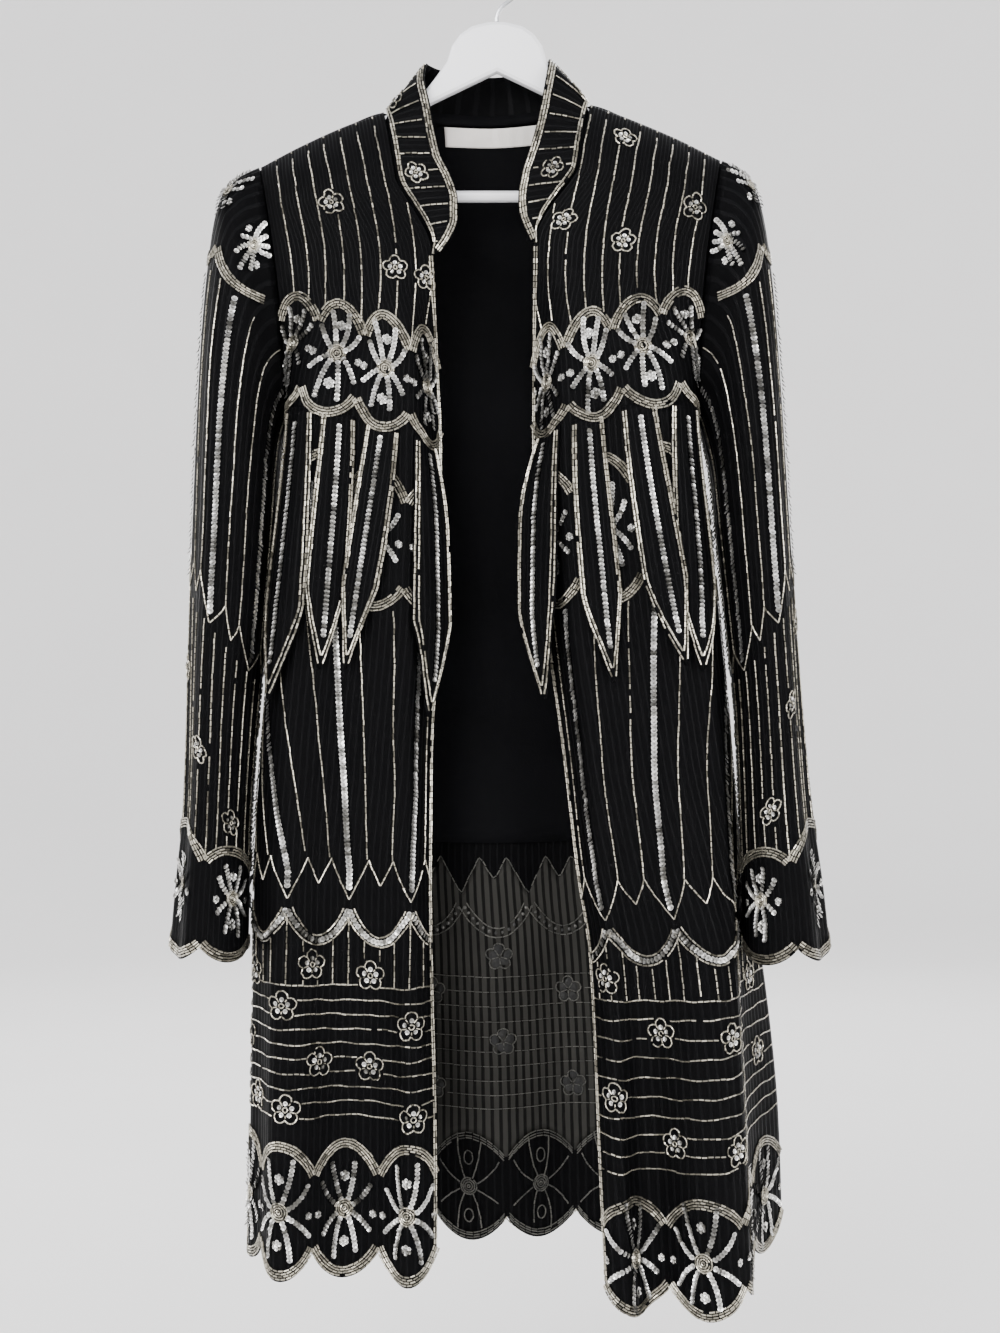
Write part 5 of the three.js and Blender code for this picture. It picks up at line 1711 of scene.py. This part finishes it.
def through_ribbon(work, ground):
    """The ribbon's two lines, with the sequins between them."""
    for swag in range(1, CELLS["back"]):
        c = swag + np.linspace(-0.48, 0.48, 30)
        line = ground.line(c, ribbon_drop(c, PATTERN_RISE["back"]))
        work.scales(line, width=3.4, pitch=6.0)
        for shift in (-1, 1):
            work.row(line, 1.1, shift * RIBBON["half"], length=5.0)


def through_hem(work, ground):
    """The hem band's two borders of three rows, and its stars."""
    for cell in range(CELLS["back"]):
        c = cell + np.linspace(0.03, 0.97, CELL_STEPS)
        rise = scallop(c, SCALLOP_RISE)
        for k in range(3):
            work.row(ground.line(c, HEM_BAND["apex"] + rise + 2.6 * k), 1.1, length=6.0)
            work.row(ground.line(c, HEM_DROP - 3 - 2.6 * k - rise), 1.1, length=6.0)
        star(work, ground, cell + 0.5, HEM_BAND["star"], across=1.15, threads=True)


class JACKET_OT_seen_through(PieceOperator):
    """Show the back's beadwork and the light through its sheer cloth, below the lining"""
    bl_idname = "jacket.seen_through"
    bl_label = "Seen through the back"

    def execute(self, context):
        lit_cloth(Ground(PANELS["back"], 1 / CELLS["back"], wall=-(CLOTH + LIT_CLOTH["inset"])))
        ground = Ground(PANELS["back"], 1 / CELLS["back"], wall=-(CLOTH + THROUGH_INSET))
        work = Beadwork("through_back", 950, "bugle_through_cloth", "sequin_through_cloth")
        shade = Beadwork("through_back_shade", 951, "shade_through_cloth", "shade_through_cloth")
        through_lines(work, ground)
        for cell, drop in HEM_FLOWERS["back"]:
            through_flower(work, shade, ground, cell, drop)
        through_ribbon(work, ground)
        through_hem(work, ground)
        work.finish()
        shade.finish()
        return {"FINISHED"}


class JACKET_OT_stage(bpy.types.Operator):
    """Set the pale floor and backdrop, the soft lights and the camera"""
    bl_idname = "jacket.stage"
    bl_label = "Stage"

    def execute(self, context):
        make_room()
        make_lights()
        make_camera()
        return {"FINISHED"}


FLOOR_Z = -1.36
ROOM_RADIUS = 5.0
ROOM_HEIGHT = 5.0
COVE = 1.6  # radius of the curve from the floor into the wall


def make_room():
    """A round pale room whose floor curves up into its wall, so it looks alike from every side."""
    turns = np.linspace(0, np.pi / 2, 12)
    profile = [(0.02, FLOOR_Z), (1.5, FLOOR_Z)]
    profile += [(ROOM_RADIUS - COVE + COVE * math.sin(t), FLOOR_Z + COVE * (1 - math.cos(t))) for t in turns]
    profile.append((ROOM_RADIUS, FLOOR_Z + ROOM_HEIGHT))
    around = np.linspace(0, 2 * np.pi, 96, endpoint=False)
    points = np.array([(r * math.cos(a), r * math.sin(a), z) for r, z in profile for a in around])
    index = np.arange(len(points)).reshape(len(profile), len(around))
    index = np.concatenate([index, index[:, :1]], axis=1)
    faces = quads(index[:-1, :-1], index[:-1, 1:], index[1:, 1:], index[1:, :-1])
    mesh = bpy.data.meshes.new("studio_floor")
    mesh.from_pydata(points.tolist(), [], [index[0, :-1].tolist()[::-1]] + faces.tolist())
    mesh.polygons.foreach_set("use_smooth", np.full(len(mesh.polygons), True))
    floor = bpy.data.objects.new("studio_floor", mesh)
    bpy.context.scene.collection.objects.link(floor)
    paper = Finish("studio_paper", uv_map=False)
    tone = bpy.context.scene.jacket_colours.floor
    tint = paper.ramp(paper.noise(3.0, 2.0), shaded(0.98, tone), tone, (0.3, 0.7))
    mesh.materials.append(paper.done(tint, Roughness=0.9))


def make_lights():
    stage = bpy.context.scene.jacket_stage
    target = np.array((0.0, 0.0, -0.6))
    rows = (
        ("key_light", (-1.3, -2.6, 0.9), 2.0, stage.key_power),
        ("fill_light", (2.2, -2.0, 0.1), 1.6, stage.fill_power),
        ("back_light", (0.6, 2.6, 0.8), 1.8, stage.fill_power),
        ("side_light", (-2.6, 1.2, 0.2), 1.6, stage.fill_power),
    )
    for name, place, size, power in rows:
        light = bpy.data.lights.new(name, "AREA")
        light.size, light.energy = size, power
        lamp = bpy.data.objects.new(name, light)
        lamp.location = place
        lamp.rotation_euler = look_along(target - np.array(place))
        bpy.context.scene.collection.objects.link(lamp)
    world = bpy.data.worlds.new("studio")
    world.use_nodes = True
    world.node_tree.nodes["Background"].inputs["Color"].default_value = (0.95, 0.96, 1.0, 1)
    world.node_tree.nodes["Background"].inputs["Strength"].default_value = 1.5
    bpy.context.scene.world = world


def look_along(direction):
    """Euler angles that point a lamp's or a camera's -Z along a direction, with +Y up."""
    x, y, z = direction
    return (math.atan2(math.hypot(x, y), -z), 0.0, math.atan2(-x, y))


SENSOR = 36.0  # width of the camera's sensor, in millimetres
CAMERA_ASIDE = 0.0026  # how far to +X of the hook the camera stands


def make_camera():
    stage = bpy.context.scene.jacket_stage
    data = bpy.data.cameras.new("photo_camera")
    data.sensor_width = SENSOR
    data.lens = SENSOR * stage.camera_distance / stage.view_height
    camera = bpy.data.objects.new("photo_camera", data)
    camera.location = (CAMERA_ASIDE, -stage.camera_distance, stage.camera_height)
    camera.rotation_euler = (math.pi / 2, 0, 0)
    bpy.context.scene.collection.objects.link(camera)
    bpy.context.scene.camera = camera


OPERATORS = (JACKET_OT_fronts, JACKET_OT_back, JACKET_OT_sleeves, JACKET_OT_collar, JACKET_OT_linings,
             JACKET_OT_tails, JACKET_OT_tapes, JACKET_OT_label, JACKET_OT_hanger, JACKET_OT_yoke,
             JACKET_OT_bands, JACKET_OT_skirt, JACKET_OT_sleeve_beads, JACKET_OT_collar_beads,
             JACKET_OT_tail_beads, JACKET_OT_seen_through, JACKET_OT_stage)


class JACKET_PT_panel(bpy.types.Panel):
    """Lists the jacket's pieces, sizes and colours"""
    bl_idname = "JACKET_PT_panel"
    bl_label = "Beaded duster jacket"
    bl_space_type = "VIEW_3D"
    bl_region_type = "UI"
    bl_category = "Jacket"

    def draw(self, context):
        for operator in OPERATORS:
            self.layout.operator(operator.bl_idname)
        for group in (context.scene.jacket_sizes, context.scene.jacket_colours, context.scene.jacket_stage):
            box = self.layout.box()
            for key in group.bl_rna.properties.keys():
                if key not in ("rna_type", "name"):
                    box.prop(group, key)


GROUPS = {"jacket_sizes": JacketSizes, "jacket_colours": JacketColours, "jacket_stage": JacketStage}


def register():
    for group in GROUPS.values():
        bpy.utils.register_class(group)
    for name, group in GROUPS.items():
        setattr(bpy.types.Scene, name, bpy.props.PointerProperty(type=group))
    for made in (*OPERATORS, JACKET_PT_panel):
        bpy.utils.register_class(made)


def unregister():
    for made in (JACKET_PT_panel, *reversed(OPERATORS)):
        bpy.utils.unregister_class(made)
    for name in GROUPS:
        delattr(bpy.types.Scene, name)
    for group in GROUPS.values():
        bpy.utils.unregister_class(group)


def main():
    register()
    for operator in OPERATORS:
        group, name = operator.bl_idname.split(".")
        getattr(getattr(bpy.ops, group), name)()


if __name__ == "__main__":
    main()
